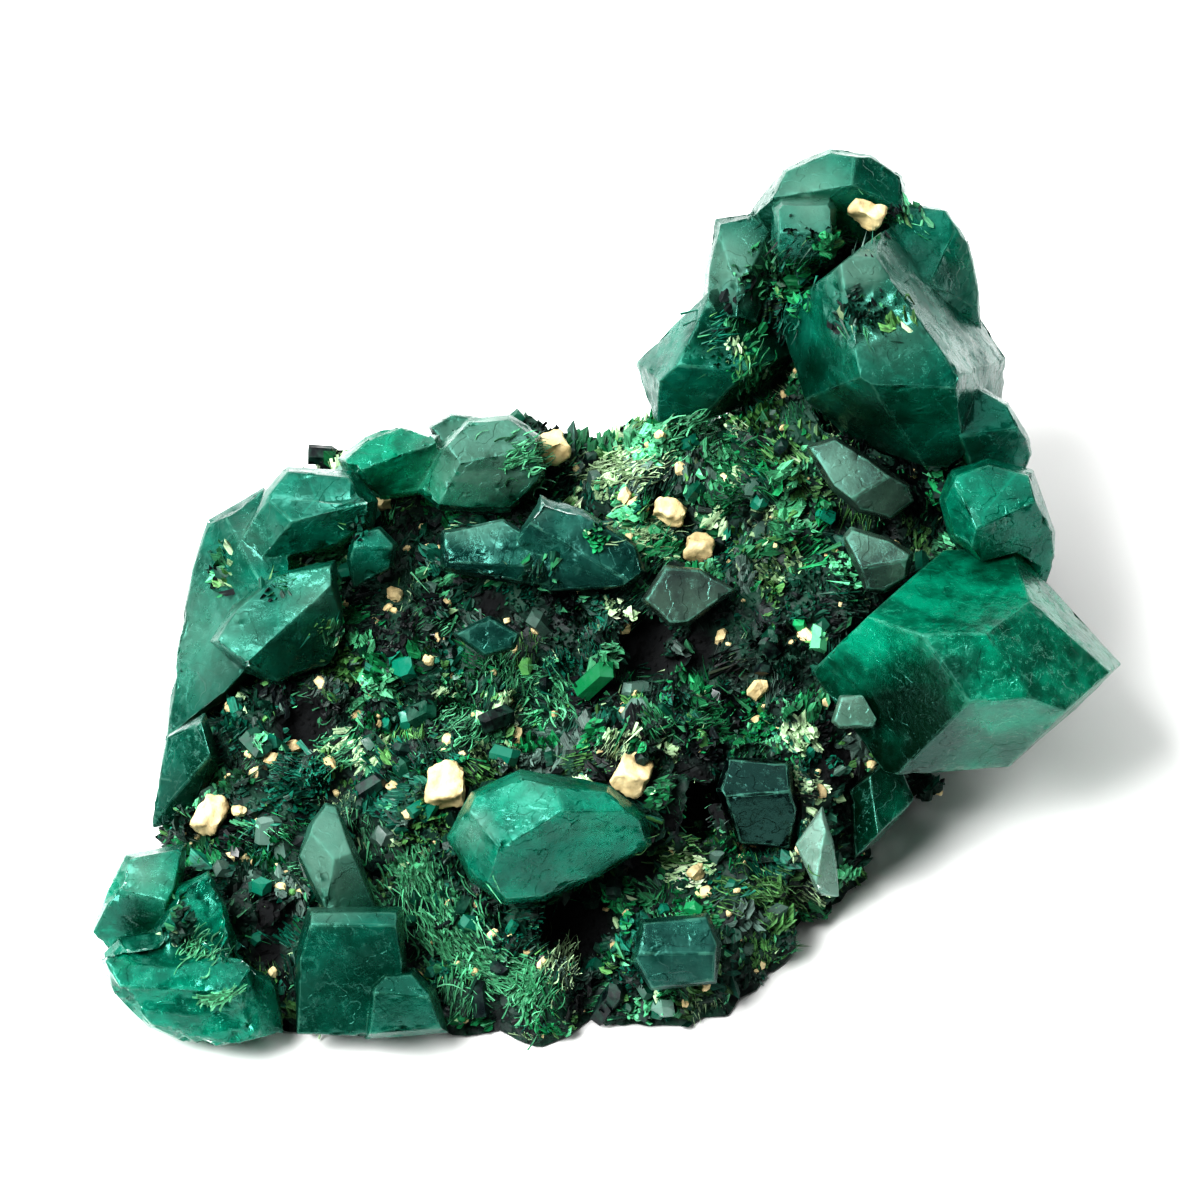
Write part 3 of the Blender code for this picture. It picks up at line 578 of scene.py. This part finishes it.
# %% Calcite finish and the large grains
def calcite_finish():
    finish = Finish("cream_calcite")
    mottle = finish.noise(0.7, detail=5, rough=0.7)
    stain = finish.ramp(finish.noise(1.3, detail=4), (0.45, 0), (0.7, 1))
    cream = finish.mix(mottle, colour(234, 222, 182), colour(206, 184, 134))
    aged = finish.ramp(finish.noise(1.8, detail=2), (0.46, 0), (0.60, 1))
    stained = finish.mix(stain * 0.5, cream, colour(192, 160, 104))
    finish.set(Base_Color=finish.mix(aged * 0.55, stained, colour(150, 132, 96)))
    finish.set(Roughness=0.45 + mottle * 0.3)
    finish.set(Normal=finish.bump(mottle, 0.12))
    return finish.material


CALCITE = calcite_finish()
GRAIN_WANDER = ((1.1, 0.26), (0.4, 0.12))
GRAIN_CELL = 0.2
GRAIN_SMOOTHINGS = 2
GRAIN_NODES = [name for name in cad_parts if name.endswith("_grain")]


def finish_grain(node):
    """A rounded, bumpy copy of a packed grain, which takes its place."""
    bm = cad_copy(node)
    divide_evenly(bm, GRAIN_CELL)
    for _ in range(GRAIN_SMOOTHINGS):
        bmesh.ops.smooth_vert(
            bm, verts=bm.verts[:], factor=0.5, use_axis_x=True, use_axis_y=True, use_axis_z=True
        )
    bm.normal_update()
    moves = [vertex.normal * wander(vertex.co, GRAIN_WANDER) * MM for vertex in bm.verts]
    for vertex, move in zip(bm.verts, moves):
        vertex.co += move
    piece = new_piece(node + "_rubbed", bm)
    piece.data.shade_smooth()
    piece.data.materials.clear()
    piece.data.materials.append(CALCITE)
    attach(piece, "root")
    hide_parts(node)


for node in GRAIN_NODES:
    finish_grain(node)
print("large grains:", len(GRAIN_NODES))

# %% [markdown]
# ## The rock under the crust
# Little of the rock itself shows: it is the near-black ground between the flakes. It still needs an uneven
# surface, or the gaps would look like flat paint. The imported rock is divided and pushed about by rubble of
# three sizes.

# %% Rock
ROCK_RUBBLE = ((3.2, 1.3), (1.2, 0.6), (0.5, 0.2))
RUBBLE_LEVEL = 0.45
ROCK_DIVISIONS = 2
RESTING_HEIGHT = 0.05
# Each hollow: how far across and uphill it lies, and its radius. The rock in a hollow is painted near black,
# as painted shade, and most crust is left out of it.
HOLLOWS = [
    (-1.5, 7.6, 2.8), (9.2, 14.9, 3.2), (5.4, 14.8, 2.8), (-19.5, 8.4, 1.9), (-19.6, 6.0, 1.2),
    (3.0, 24.0, 2.4), (-17.5, 19.5, 2.2), (-6.5, 26.6, 1.2), (5.6, 24.0, 1.6), (14.0, 17.0, 1.6),
    (2.5, 11.0, 1.2), (0.5, 21.0, 1.2),
]


def rock_finish():
    finish = Finish("dark_rock")
    patches = finish.noise(2.5, detail=6, rough=0.7)
    flecks = finish.ramp(finish.cells(0.45), (0.05, 1), (0.4, 0))
    dark = finish.mix(finish.ramp(patches, (0.4, 0), (0.6, 1)), colour(14, 26, 26), colour(10, 60, 44))
    crusted = finish.mix(flecks * 0.4, dark, colour(46, 110, 84))
    hollow = finish.stored("hollow")
    # Painted shade: inside the hollows the rock turns near black.
    finish.set(Base_Color=finish.mix(hollow, crusted, colour(5, 8, 10)))
    finish.set(Roughness=0.45 + patches * 0.4 + hollow * 0.3)
    finish.set(Normal=finish.bump(flecks + patches, 0.2))
    return finish.material


def hollow_at(across, uphill):
    """How far inside a hollow a place lies, from 0 outside to 1; it sets the painted shade of the rock."""
    depths = [3 - 3 * math.hypot(across - x, uphill - y) / radius for x, y, radius in HOLLOWS]
    return min(1.0, max(0.0, *depths))


def rough_rock():
    """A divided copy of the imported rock, pushed into rubble, which takes its place."""
    piece = new_piece("rough_rock", cad_copy("rock_with_crust"))
    divide = piece.modifiers.new("divide", "SUBSURF")
    divide.subdivision_type = "SIMPLE"
    divide.levels = ROCK_DIVISIONS
    divide.render_levels = ROCK_DIVISIONS
    graph = bpy.context.evaluated_depsgraph_get()
    divided = bpy.data.meshes.new_from_object(piece.evaluated_get(graph))
    piece.modifiers.clear()
    piece.data = divided
    bm = bmesh.new()
    bm.from_mesh(piece.data)
    bm.normal_update()
    moves = []
    for vertex in bm.verts:
        push = 0
        for size, depth in ROCK_RUBBLE:
            near, next_near = noise.voronoi(vertex.co / (size * MM))[0][:2]
            push += (next_near - near - RUBBLE_LEVEL) * depth
        resting = vertex.co.z < RESTING_HEIGHT * MM
        moves.append(Vector((0, 0, 0)) if resting else vertex.normal * push * MM)
    for vertex, move in zip(bm.verts, moves):
        vertex.co += move
        vertex.co.z = max(vertex.co.z, 0)
    bm.to_mesh(piece.data)
    bm.free()
    hollow_shades = []
    for vertex in piece.data.vertices:
        faces_out = vertex.normal.dot(OUTWARD) > 0
        hollow_shades.append(hollow_at(*seen_at(vertex.co)) if faces_out else 0.0)
    keep(piece.data, "hollow", hollow_shades)
    piece.data.materials.clear()
    piece.data.materials.append(rock_finish())
    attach(piece, "root")
    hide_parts("rock_with_crust")
    return piece


rock = rough_rock()
print("rock faces:", len(rock.data.polygons))

# %% [markdown]
# ## Choosing spots on the crust
# The crust is laid piece by piece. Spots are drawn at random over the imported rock, more on the crusted side
# than on the others, and left out where a large crystal already stands or where the rock rests on the
# table. Some crust also creeps over the crystals, so a second way picks spots by where they are seen.

# %% Spots
FRONT_SHARE, OTHER_SHARE = 1.8, 0.7
LOWEST_SPOT = 0.3
HOLLOW_BARE = 0.97
VIEW_HEIGHT = 80


def tree_of(pieces):
    """All pieces in one search tree."""
    points, faces = [], []
    for piece in pieces:
        base = len(points)
        points += [vertex.co.copy() for vertex in piece.data.vertices]
        faces += [[base + index for index in face.vertices] for face in piece.data.polygons]
    return BVHTree.FromPolygons(points, faces)


crystal_tree = tree_of(crystals.values())
whole_tree = tree_of([*crystals.values(), rock])

rng = random.Random(SEED)


def crust_spots(count, clearance):
    """Random points on the rough rock with their normals, clear of the large crystals."""
    bm = bmesh.new()
    bm.from_mesh(rock.data)
    faces = [face for face in bm.faces if face.calc_center_median().z > LOWEST_SPOT * MM]
    shares = [FRONT_SHARE if face.normal.dot(OUTWARD) > 0.2 else OTHER_SHARE for face in faces]
    areas = [face.calc_area() * share for face, share in zip(faces, shares)]
    spots = []
    for face in rng.choices(faces, areas, k=count):
        a, b = sorted((rng.random(), rng.random()))
        corners = [loop.vert.co for loop in face.loops]
        point = corners[0] * a + corners[1] * (b - a) + corners[2] * (1 - b)
        if crystal_tree.find_nearest(point)[3] < clearance * MM:
            continue
        across, uphill = seen_at(point)
        if face.normal.dot(OUTWARD) > 0 and rng.random() < hollow_at(across, uphill) * HOLLOW_BARE:
            continue
        spots.append((point, face.normal.copy(), across, uphill))
    bm.free()
    return spots


def seen_spots(across, uphill, half_width, half_height, count):
    """Random spots in an oval on the side that faces the viewer, whatever stands there."""
    spots = []
    for _ in range(count):
        x = across + rng.gauss(0, 0.5) * half_width
        y = uphill + rng.gauss(0, 0.5) * half_height
        above = FRONT_EDGE + (RIGHT * x + UPHILL * y + OUTWARD * VIEW_HEIGHT) * MM
        point, normal, _, _ = whole_tree.ray_cast(above, -OUTWARD)
        if point is not None:
            spots.append((point, normal.copy(), x, y))
    return spots


# %% [markdown]
# ## Laying many small pieces as one mesh
# Six small shapes are modelled with operators: a leaf-thin plate, a block, a pointed prism, a fibre, a
# curved strand and a lump. Each spot gets one of them, turned and scaled, and all copies are joined into
# one mesh. Each copy's points keep a colour, because the crust's greens change from plate to plate, and
# their place inside the copy, so that the finish can draw streaks along it.

# %% Small shapes
# Copies are moved apart by this much per point in the streaks, so that no two look alike.
STREAK_SHIFT = 0.37
STRAND_HEIGHT = 1.6


def cut_corner(bm, normal, distance):
    """Cuts off all that lies beyond a plane and closes the cut."""
    everything = bm.verts[:] + bm.edges[:] + bm.faces[:]
    cut = bmesh.ops.bisect_plane(
        bm, geom=everything, plane_co=normal * distance, plane_no=normal, clear_outer=True
    )
    rim = [edge for edge in cut["geom_cut"] if isinstance(edge, bmesh.types.BMEdge)]
    bmesh.ops.holes_fill(bm, edges=rim, sides=0)


def small_shape(kind):
    """One small shape about a millimetre across, centred on the origin and standing along Z."""
    bm = bmesh.new()
    if kind == "leaf":
        bmesh.ops.create_grid(bm, x_segments=2, y_segments=1, size=0.5)
        bmesh.ops.rotate(bm, verts=bm.verts[:], matrix=Matrix.Rotation(math.pi / 2, 3, "X"))
        for vertex in bm.verts:
            on_fold = abs(vertex.co.x) < 0.1
            vertex.co.y += 0.16 if on_fold else 0
            vertex.co.z *= 1.3 if on_fold else 0.55
            vertex.co += noise.noise_vector(vertex.co * 5.3) * 0.16
    elif kind == "block":
        bmesh.ops.create_cone(bm, cap_ends=True, segments=6, radius1=0.42, radius2=0.42, depth=0.8)
        for turn in (0.3, 2.4, 4.5):
            cut_corner(bm, Vector((math.cos(turn), math.sin(turn), 0.8)).normalized(), 0.42)
    elif kind == "prism":
        bmesh.ops.create_cone(bm, cap_ends=True, segments=6, radius1=0.5, radius2=0.46, depth=1.6)
        for turn in (0.5, 2.6, 4.7):
            cut_corner(bm, Vector((math.cos(turn), math.sin(turn), 1.1)).normalized(), 0.66)
    elif kind == "fibre":
        bmesh.ops.create_cone(bm, cap_ends=True, segments=3, radius1=0.11, radius2=0, depth=1.6)
    elif kind == "strand":
        bmesh.ops.create_cone(bm, cap_ends=True, segments=3, radius1=0.08, radius2=0.03, depth=STRAND_HEIGHT)
        sides = [edge for edge in bm.edges if abs(edge.verts[0].co.z - edge.verts[1].co.z) > 1]
        bmesh.ops.subdivide_edges(bm, edges=sides, cuts=3)
        for vertex in bm.verts:
            vertex.co.x += 0.45 * vertex.co.z ** 2 + 0.05 * math.sin(vertex.co.z * 7)
    else:  # a lump
        bmesh.ops.create_icosphere(bm, subdivisions=2, radius=0.5)
        for vertex in bm.verts:
            vertex.co *= 1 + noise.noise(vertex.co * 2.3) * 0.45 + noise.noise(vertex.co * 5) * 0.15
    bmesh.ops.triangulate(bm, faces=bm.faces[:])
    points = np.array([vertex.co[:] for vertex in bm.verts])
    faces = np.array([[vertex.index for vertex in face.verts] for face in bm.faces])
    bm.free()
    return points, faces


def lay(name, copies, material):
    """Joins copies, each a shape, place, turn, size and colour, into one piece."""
    shapes = {kind: small_shape(kind) for kind in sorted({copy[0] for copy in copies})}
    points, faces, colours, insides = [], [], [], []
    base = 0
    for kind, place, turn, size, tint in copies:
        shape_points, shape_faces = shapes[kind]
        inside = shape_points * np.array(size)
        points.append((inside * MM) @ np.array(turn).T + np.array(place))
        faces.append(shape_faces + base)
        colours.append(np.tile(tint, (len(inside), 1)))
        insides.append(inside + base * STREAK_SHIFT)
        base += len(inside)
    points = np.concatenate(points)
    points[:, 2] = np.maximum(points[:, 2], 0)
    mesh = bpy.data.meshes.new(name)
    mesh.from_pydata(points.tolist(), [], np.concatenate(faces).tolist())
    tints = mesh.attributes.new("tint", "FLOAT_COLOR", "POINT")
    tints.data.foreach_set("color", np.concatenate(colours).ravel())
    places = mesh.attributes.new("inside", "FLOAT_VECTOR", "POINT")
    places.data.foreach_set("vector", np.concatenate(insides).ravel())
    piece = bpy.data.objects.new(name, mesh)
    bpy.context.collection.objects.link(piece)
    mesh.materials.append(material)
    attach(piece, "root")
    print(name, len(copies), "pieces,", len(mesh.polygons), "triangles")


def turn_to(direction, spin):
    """A rotation that stands a shape along a direction and spins it about that."""
    return direction.to_track_quat("Z", "Y").to_matrix() @ Matrix.Rotation(spin, 3, "Z")


def scattered(direction, spread, source):
    """A direction near the given one."""
    side = Vector((source.gauss(0, 1), source.gauss(0, 1), source.gauss(0, 1)))
    return (direction + side * spread).normalized()


# %% [markdown]
# ## Clumps and their colours
# The crust grew in clumps a few millimetres wide: sheaves of fibres, stacks of leafy plates, knots of dark
# small crystals, and bare hollows between. Within a clump, pieces lie nearly the same way and share a
# green. A cell pattern decides which clump a spot belongs to. Some patches of the specimen lean to pale,
# mossy or dark greens, so each clump draws its colour from weights that the patch changes.

# %% Colours by patch
# Each tint: its colour and how common it is. Black stands for painted shade between the flakes and for dark
# small crystals.
TINTS = {
    "black": (colour(8, 18, 20), 0.14),
    "deep": (colour(4, 58, 44), 0.25),
    "teal": (colour(12, 98, 80), 0.17),
    "leaf": (colour(22, 116, 72), 0.17),
    "mint": (colour(84, 162, 120), 0.13),
    "pale": (colour(168, 198, 156), 0.06),
    "grey": (colour(76, 98, 90), 0.06),
    "moss": (colour(82, 130, 76), 0.09),
}
# Each patch: how far across and uphill it lies, its radius, and how many times more of each tint it has.
PATCHES = [
    (9.0, 36.5, 6.5, {"pale": 3.5, "mint": 3.5, "leaf": 3.0, "moss": 2.0, "black": 0.2}),
    (2.5, 34.5, 4.5, {"pale": 3.5, "mint": 3.5, "leaf": 2.5, "moss": 1.5, "black": 0.3}),
    (7.5, 8.5, 5.0, {"moss": 5.0, "leaf": 2.5, "black": 0.5, "mint": 1.5}),
    (-7.5, 7.0, 4.5, {"mint": 3.0, "teal": 2.5, "black": 0.5}),
    (6.5, 19.5, 4.0, {"leaf": 2.5, "moss": 1.5, "black": 0.7}),
    (-20.0, 15.0, 5.0, {"teal": 2.0, "grey": 3.0, "mint": 1.6, "black": 0.7}),
    (-12.0, 21.0, 6.0, {"black": 1.3, "grey": 1.6, "moss": 1.5}),
    # Left of the right point crystal the crust is mostly black: painted shade.
    (14.5, 24.0, 5.0, {"black": 3.0, "deep": 1.5, "pale": 0.4}),
]
CLUMP_SIZE = 2.1
BEND_SIZE, BEND = 1.5, 0.7
STRAY_SHARE = 0.2
CLUMP_KINDS = {"fibres": 0.34, "leaves": 0.42, "blocks": 0.14, "bare": 0.10}
SHADE_CLOUDS = ((2.6, 0.9), (1.0, 0.4))
clumps = {}


def tint_name(across, uphill, source):
    """A tint drawn with the weights of the patches that a spot lies in."""
    weights = {name: weight for name, (_, weight) in TINTS.items()}
    for x, y, radius, leaning in PATCHES:
        if math.hypot(across - x, uphill - y) < radius:
            for name, times in leaning.items():
                weights[name] *= times
    return source.choices(list(weights), list(weights.values()))[0]


def clump_at(point, normal, across, uphill):
    """The clump at a spot: its kind, the way its pieces lie, its colour name and its size."""
    bent = point + noise.noise_vector(point / (BEND_SIZE * MM)) * BEND * MM
    middle = noise.voronoi(bent / (CLUMP_SIZE * MM))[1][0]
    key = tuple(round(part, 3) for part in middle)
    if key not in clumps:
        source = random.Random(str(key))
        kind = source.choices(list(CLUMP_KINDS), list(CLUMP_KINDS.values()))[0]
        name = tint_name(across, uphill, source)
        lie = scattered(normal * 0.35, 1.0, source) if kind == "fibres" else scattered(normal, 0.8, source)
        clumps[key] = (kind, lie, name, source.uniform(0.75, 1.45))
    return clumps[key]


def shaded(name, shade):
    """A tint made lighter or darker."""
    return [min(1.0, part * shade) for part in TINTS[name][0][:3]] + [1.0]


def tint_at(name, point, across, uphill):
    """A colour for one piece of a clump, with its own variation and that of its neighbourhood."""
    if rng.random() < STRAY_SHARE:
        name = tint_name(across, uphill, rng)
    shade = rng.uniform(0.85, 1.6) * (1 + wander(point, SHADE_CLOUDS))
    return shaded(name, shade)


# %% Crust finish
def crust_finish():
    finish = Finish("green_crust")
    tint = finish.stored("tint", "Color")
    inside = finish.stored("inside", "Vector")
    along = finish.node("ShaderNodeMapping", values={"Vector": inside, "Scale": (1, 1, 0.12)})
    streaky = {"Vector": along, "Scale": 9.0, "Detail": 4, "Roughness": 0.6}
    streaks = finish.node("ShaderNodeTexNoise", values=streaky)
    patches = finish.noise(0.5, detail=5, rough=0.7)
    level = finish.ramp(streaks * 0.6 + patches * 0.4, (0.38, 0.2), (0.48, 0.7), (0.60, 1))
    worn = finish.mix(1.0, tint, level, "MULTIPLY")
    glints = finish.ramp(streaks, (0.60, 0), (0.72, 1))
    finish.set(Base_Color=finish.mix(glints * 0.3, worn, colour(140, 185, 160)))
    finish.set(Roughness=0.35 + patches * 0.4)
    finish.set(Normal=finish.bump(streaks, 0.05))
    finish.set(IOR=1.45)
    return finish.material


CRUST = crust_finish()

# %% [markdown]
# ## Plates, blocks and fibres
# Plates stand on edge and give the crust its leafy look. Blocks are small whole crystals. Fibres lie in
# sheaves or bristle out of the gaps. Their sizes overlap, from a quarter of a millimetre to two.

# %% Crust
def piece_on(spot, small):
    """One small piece for a spot, of the kind its clump is made of, or none."""
    point, normal, across, uphill = spot
    kind, lie, name, size = clump_at(*spot)
    size *= rng.uniform(0.55, 1.25) * small
    tint = tint_at(name, point, across, uphill)
    spin = rng.uniform(0, math.tau)
    if kind == "bare" and rng.random() < 0.8:
        return None
    if kind == "fibres":
        direction = scattered(lie, 0.22, rng)
        shape = (size * rng.uniform(0.7, 1.5), size, size * rng.uniform(0.8, 1.5))
        return ("fibre", point + normal * size * 0.12 * MM, turn_to(direction, spin), shape, tint)
    if kind != "blocks" or rng.random() < 0.7:
        direction = scattered(lie, 0.3, rng)
        turn = turn_to(direction, rng.gauss(0, 0.5))
        shape = (size * rng.uniform(0.35, 0.85), size * rng.uniform(0.7, 1.4), size * rng.uniform(0.8, 1.6))
        return ("leaf", point + direction * size * 0.18 * MM, turn, shape, tint)
    direction = scattered(normal, 0.6, rng)
    shape = (size * 0.8, size * rng.uniform(0.5, 0.9), size * rng.uniform(0.8, 1.3))
    return ("block", point + direction * size * 0.12 * MM, turn_to(direction, spin), shape, tint)


def crust_layer(name, spots, small):
    """A piece of crust on every spot, save the bare ones."""
    copies = [copy for copy in (piece_on(spot, small) for spot in spots) if copy is not None]
    lay(name, copies, CRUST)


# Each layer: its name, how many spots are drawn, how clear they stay of crystals, and its scale.
CRUST_LAYERS = [
    ("crust_ground", 42000, 0.2, 0.36), ("crust_middle", 26000, 0.4, 0.52), ("crust_tips", 6000, 0.8, 0.8),
]
for name, count, clearance, small in CRUST_LAYERS:
    crust_layer(name, crust_spots(count, clearance), small)

# %% [markdown]
# ## Small whole crystals
# Between the flakes stand stubby six-sided crystals a millimetre or two long, most of them dark and
# glassy. They are what breaks the crust up at a distance. A cone primitive with the tip pinched off would
# do; here a prism is pointed by three cuts, the way dioptase ends. After them, crust is laid on the large
# crystals where the photograph shows it creep over their faces.

# %% Small crystals
def small_crystal_finish():
    finish = Finish("small_dioptase")
    tint = finish.stored("tint", "Color")
    veils = finish.ramp(finish.noise(0.8, detail=5, rough=0.7), (0.45, 0), (0.65, 1))
    frost = finish.ramp(finish.noise(1.6, detail=4), (0.45, 0), (0.60, 1))
    finish.set(Base_Color=finish.mix(veils * 0.3, tint, colour(50, 112, 90)))
    finish.set(Roughness=0.25 + frost * 0.35)
    finish.set(Normal=finish.bump(finish.noise(0.4, detail=4), 0.03))
    finish.set(IOR=1.6, Specular_IOR_Level=0.35)
    return finish.material


SMALL_CRYSTAL_TINTS = ("deep", "black", "black", "teal", "grey")
SMALL_CRYSTAL_COUNT = 480
SMALL_CRYSTAL_CLEARANCE = 1.0


def small_crystal(spot):
    """A stubby prism, sunk a little into the crust."""
    point, normal, across, uphill = spot
    name = rng.choice(SMALL_CRYSTAL_TINTS)
    size = rng.uniform(0.7, 1.2) * rng.uniform(0.7, 1.5)
    direction = scattered(normal, 0.6, rng)
    shape = (size * rng.uniform(0.8, 1.3), size * 0.9, size * rng.uniform(0.7, 1.1))
    turn = turn_to(direction, rng.uniform(0, math.tau))
    return ("prism", point - direction * 0.15 * size * MM, turn, shape, tint_at(name, point, across, uphill))


crystal_spots = crust_spots(SMALL_CRYSTAL_COUNT, SMALL_CRYSTAL_CLEARANCE)
facing_spots = [spot for spot in crystal_spots if spot[1].dot(OUTWARD) > 0.35 and spot[3] > 2]
lay("small_crystals", [small_crystal(spot) for spot in facing_spots], small_crystal_finish())

# %% Crust on the crystals
# Each patch: how far across and uphill it lies, half its width and height, and how many pieces it gets.
CREEPING = [
    (15.8, 43.6, 2.3, 1.5, 170), (7.3, 42.2, 1.7, 1.5, 120), (11.2, 46.5, 2.0, 2.6, 150),
    (9.0, 45.5, 1.4, 1.2, 50), (17.2, 49.6, 2.2, 1.0, 90), (8.6, 40.2, 1.2, 1.4, 60),
    (-3.4, 28.6, 1.2, 0.9, 45), (-0.2, 30.6, 0.8, 0.8, 30), (-2.7, 35.9, 1.4, 1.2, 60),
    (-19.0, 27.5, 1.2, 1.0, 25), (-22.4, 28.2, 0.9, 1.2, 45), (-14.6, 31.4, 1.0, 1.4, 60),
    (-15.8, 24.4, 1.4, 1.4, 80), (-24.6, 7.6, 0.8, 1.6, 50), (14.2, 47.8, 1.7, 0.9, 130),
]
CREEPING_SCALE = 0.55
creeping = [spot for patch in CREEPING for spot in seen_spots(*patch)]
crust_layer("crust_on_crystals", creeping, CREEPING_SCALE)

# %% [markdown]
# ## Sheaves of pale fibres
# In a few places long pale fibres flow side by side over the crust, most of all below the bright crystal in
# front. They are listed one by one: a patch as seen from the front, the way the fibres run, and their length.

# %% Sheaves
# Each sheaf: place, half width and height, heading in degrees, fibre length, how many fibres, and tint.
SHEAVES = [
    (-10.6, 10.2, 1.6, 2.2, -75, 1.9, 240, "mint"), (-8.6, 7.2, 1.8, 2.0, -60, 2.0, 240, "mint"),
    (-6.3, 5.0, 2.2, 1.2, -25, 2.0, 200, "mint"), (-4.2, 3.6, 1.4, 1.6, 60, 1.5, 110, "mint"),
    (-2.3, 5.4, 1.0, 1.2, 70, 1.3, 70, "pale"), (-3.5, 35.4, 2.2, 1.2, 20, 1.3, 110, "mint"),
    (1.5, 34.6, 2.6, 1.2, 15, 1.5, 150, "pale"), (5.5, 36.5, 2.6, 1.6, 35, 1.6, 150, "mint"),
    (8.5, 34.5, 2.2, 1.6, -35, 1.6, 110, "leaf"), (3.0, 31.0, 2.4, 1.2, 10, 1.3, 120, "pale"),
    (9.5, 39.5, 1.4, 2.0, 60, 1.3, 90, "leaf"), (-5.8, 22.0, 1.6, 1.8, 75, 1.4, 110, "mint"),
    (-8.6, 19.2, 1.4, 1.4, 40, 1.3, 80, "mint"), (-2.4, 21.5, 1.4, 1.6, -60, 1.3, 80, "mint"),
    (-15.2, 17.8, 1.6, 1.2, 30, 1.2, 80, "mint"), (-20.5, 12.2, 1.4, 1.4, 55, 1.3, 80, "teal"),
    (6.5, 19.5, 2.0, 1.4, 25, 1.3, 100, "leaf"), (9.5, 9.5, 2.2, 1.4, -20, 1.4, 110, "moss"),
    (4.5, 12.0, 1.8, 1.0, 0, 1.3, 80, "moss"), (11.0, 44.5, 1.2, 2.4, 70, 1.2, 80, "teal"),
    (-22.2, 3.6, 0.9, 0.3, 25, 1.8, 45, "mint"), (-23.6, 6.2, 1.2, 1.2, 50, 1.4, 50, "mint"),
]


def sheaf(across, uphill, half_width, half_height, heading, length, count, name):
    """Fibres that run one way over a patch."""
    copies = []
    angle = math.radians(heading)
    way = RIGHT * math.cos(angle) + UPHILL * math.sin(angle) + OUTWARD * 0.15
    for point, normal, _, _ in seen_spots(across, uphill, half_width, half_height, count):
        size = length * rng.uniform(0.5, 1.1)
        shade = rng.uniform(0.5, 1.5)
        tint = shaded(name, shade)
        turn = turn_to(scattered(way, 0.16, rng), rng.uniform(0, math.tau))
        thin = rng.uniform(0.6, 1.3)
        copies.append(("strand", point + normal * 0.15 * MM, turn, (thin, thin, size / STRAND_HEIGHT), tint))
    return copies


lay("fibre_sheaves", [copy for patch in SHEAVES for copy in sheaf(*patch)], CRUST)

# %% [markdown]
# ## Small cream grains
# Besides the few large grains there are many small ones, thickest in the front half. A handful are placed
# where they catch the eye; the rest are strewn at random.

# %% Cream grains
# Each grain: how far across and uphill it lies, its width and its height.
GRAIN_PLACES = [
    (-2.7, 35.9, 1.5, 1.5), (4.2, 32.1, 1.8, 0.9), (5.9, 29.9, 1.3, 1.1), (-13.0, 32.4, 1.2, 0.9),
    (-12.1, 27.1, 1.1, 0.9), (-9.1, 15.9, 2.0, 2.1), (1.9, 16.5, 1.2, 2.2), (-23.0, 14.1, 1.1, 2.0),
    (-18.3, 18.0, 1.2, 1.0), (-20.3, 16.5, 1.0, 0.9), (9.3, 21.5, 1.5, 1.1), (12.1, 24.7, 0.8, 1.1),
    (7.2, 24.6, 0.8, 1.2), (1.5, 25.3, 1.0, 0.9), (-16.6, 21.9, 1.0, 0.7), (-5.0, 18.8, 0.7, 1.2),
    (8.2, 12.1, 0.8, 0.8), (-21.2, 11.6, 2.0, 0.7), (3.6, 36.5, 0.9, 0.7), (-8.9, 18.5, 0.8, 0.8),
]
LOOSE_GRAINS = 420
GRAIN_CLEARANCE = 0.4


def cream_lump(spot, size):
    """A lump that rests on its spot at a random angle."""
    point, normal, _, _ = spot
    turn = turn_to(scattered(normal, 0.8, rng), rng.uniform(0, math.tau))
    return ("lump", point + normal * min(size) * 0.1 * MM, turn, size, (1.0, 1.0, 1.0, 1.0))


cream = []
for across, uphill, width, height in GRAIN_PLACES:
    for spot in seen_spots(across, uphill, 0.05, 0.05, 1):
        cream.append(cream_lump(spot, (width, height, min(width, height))))
for spot in crust_spots(LOOSE_GRAINS, GRAIN_CLEARANCE):
    size = rng.uniform(0.2, 0.5) * rng.uniform(0.8, 2.0)
    shape = (size * rng.uniform(0.6, 1.3), size * rng.uniform(0.6, 1.3), size)
    cream.append(cream_lump(spot, shape))
lay("cream_grains", cream, CALCITE)
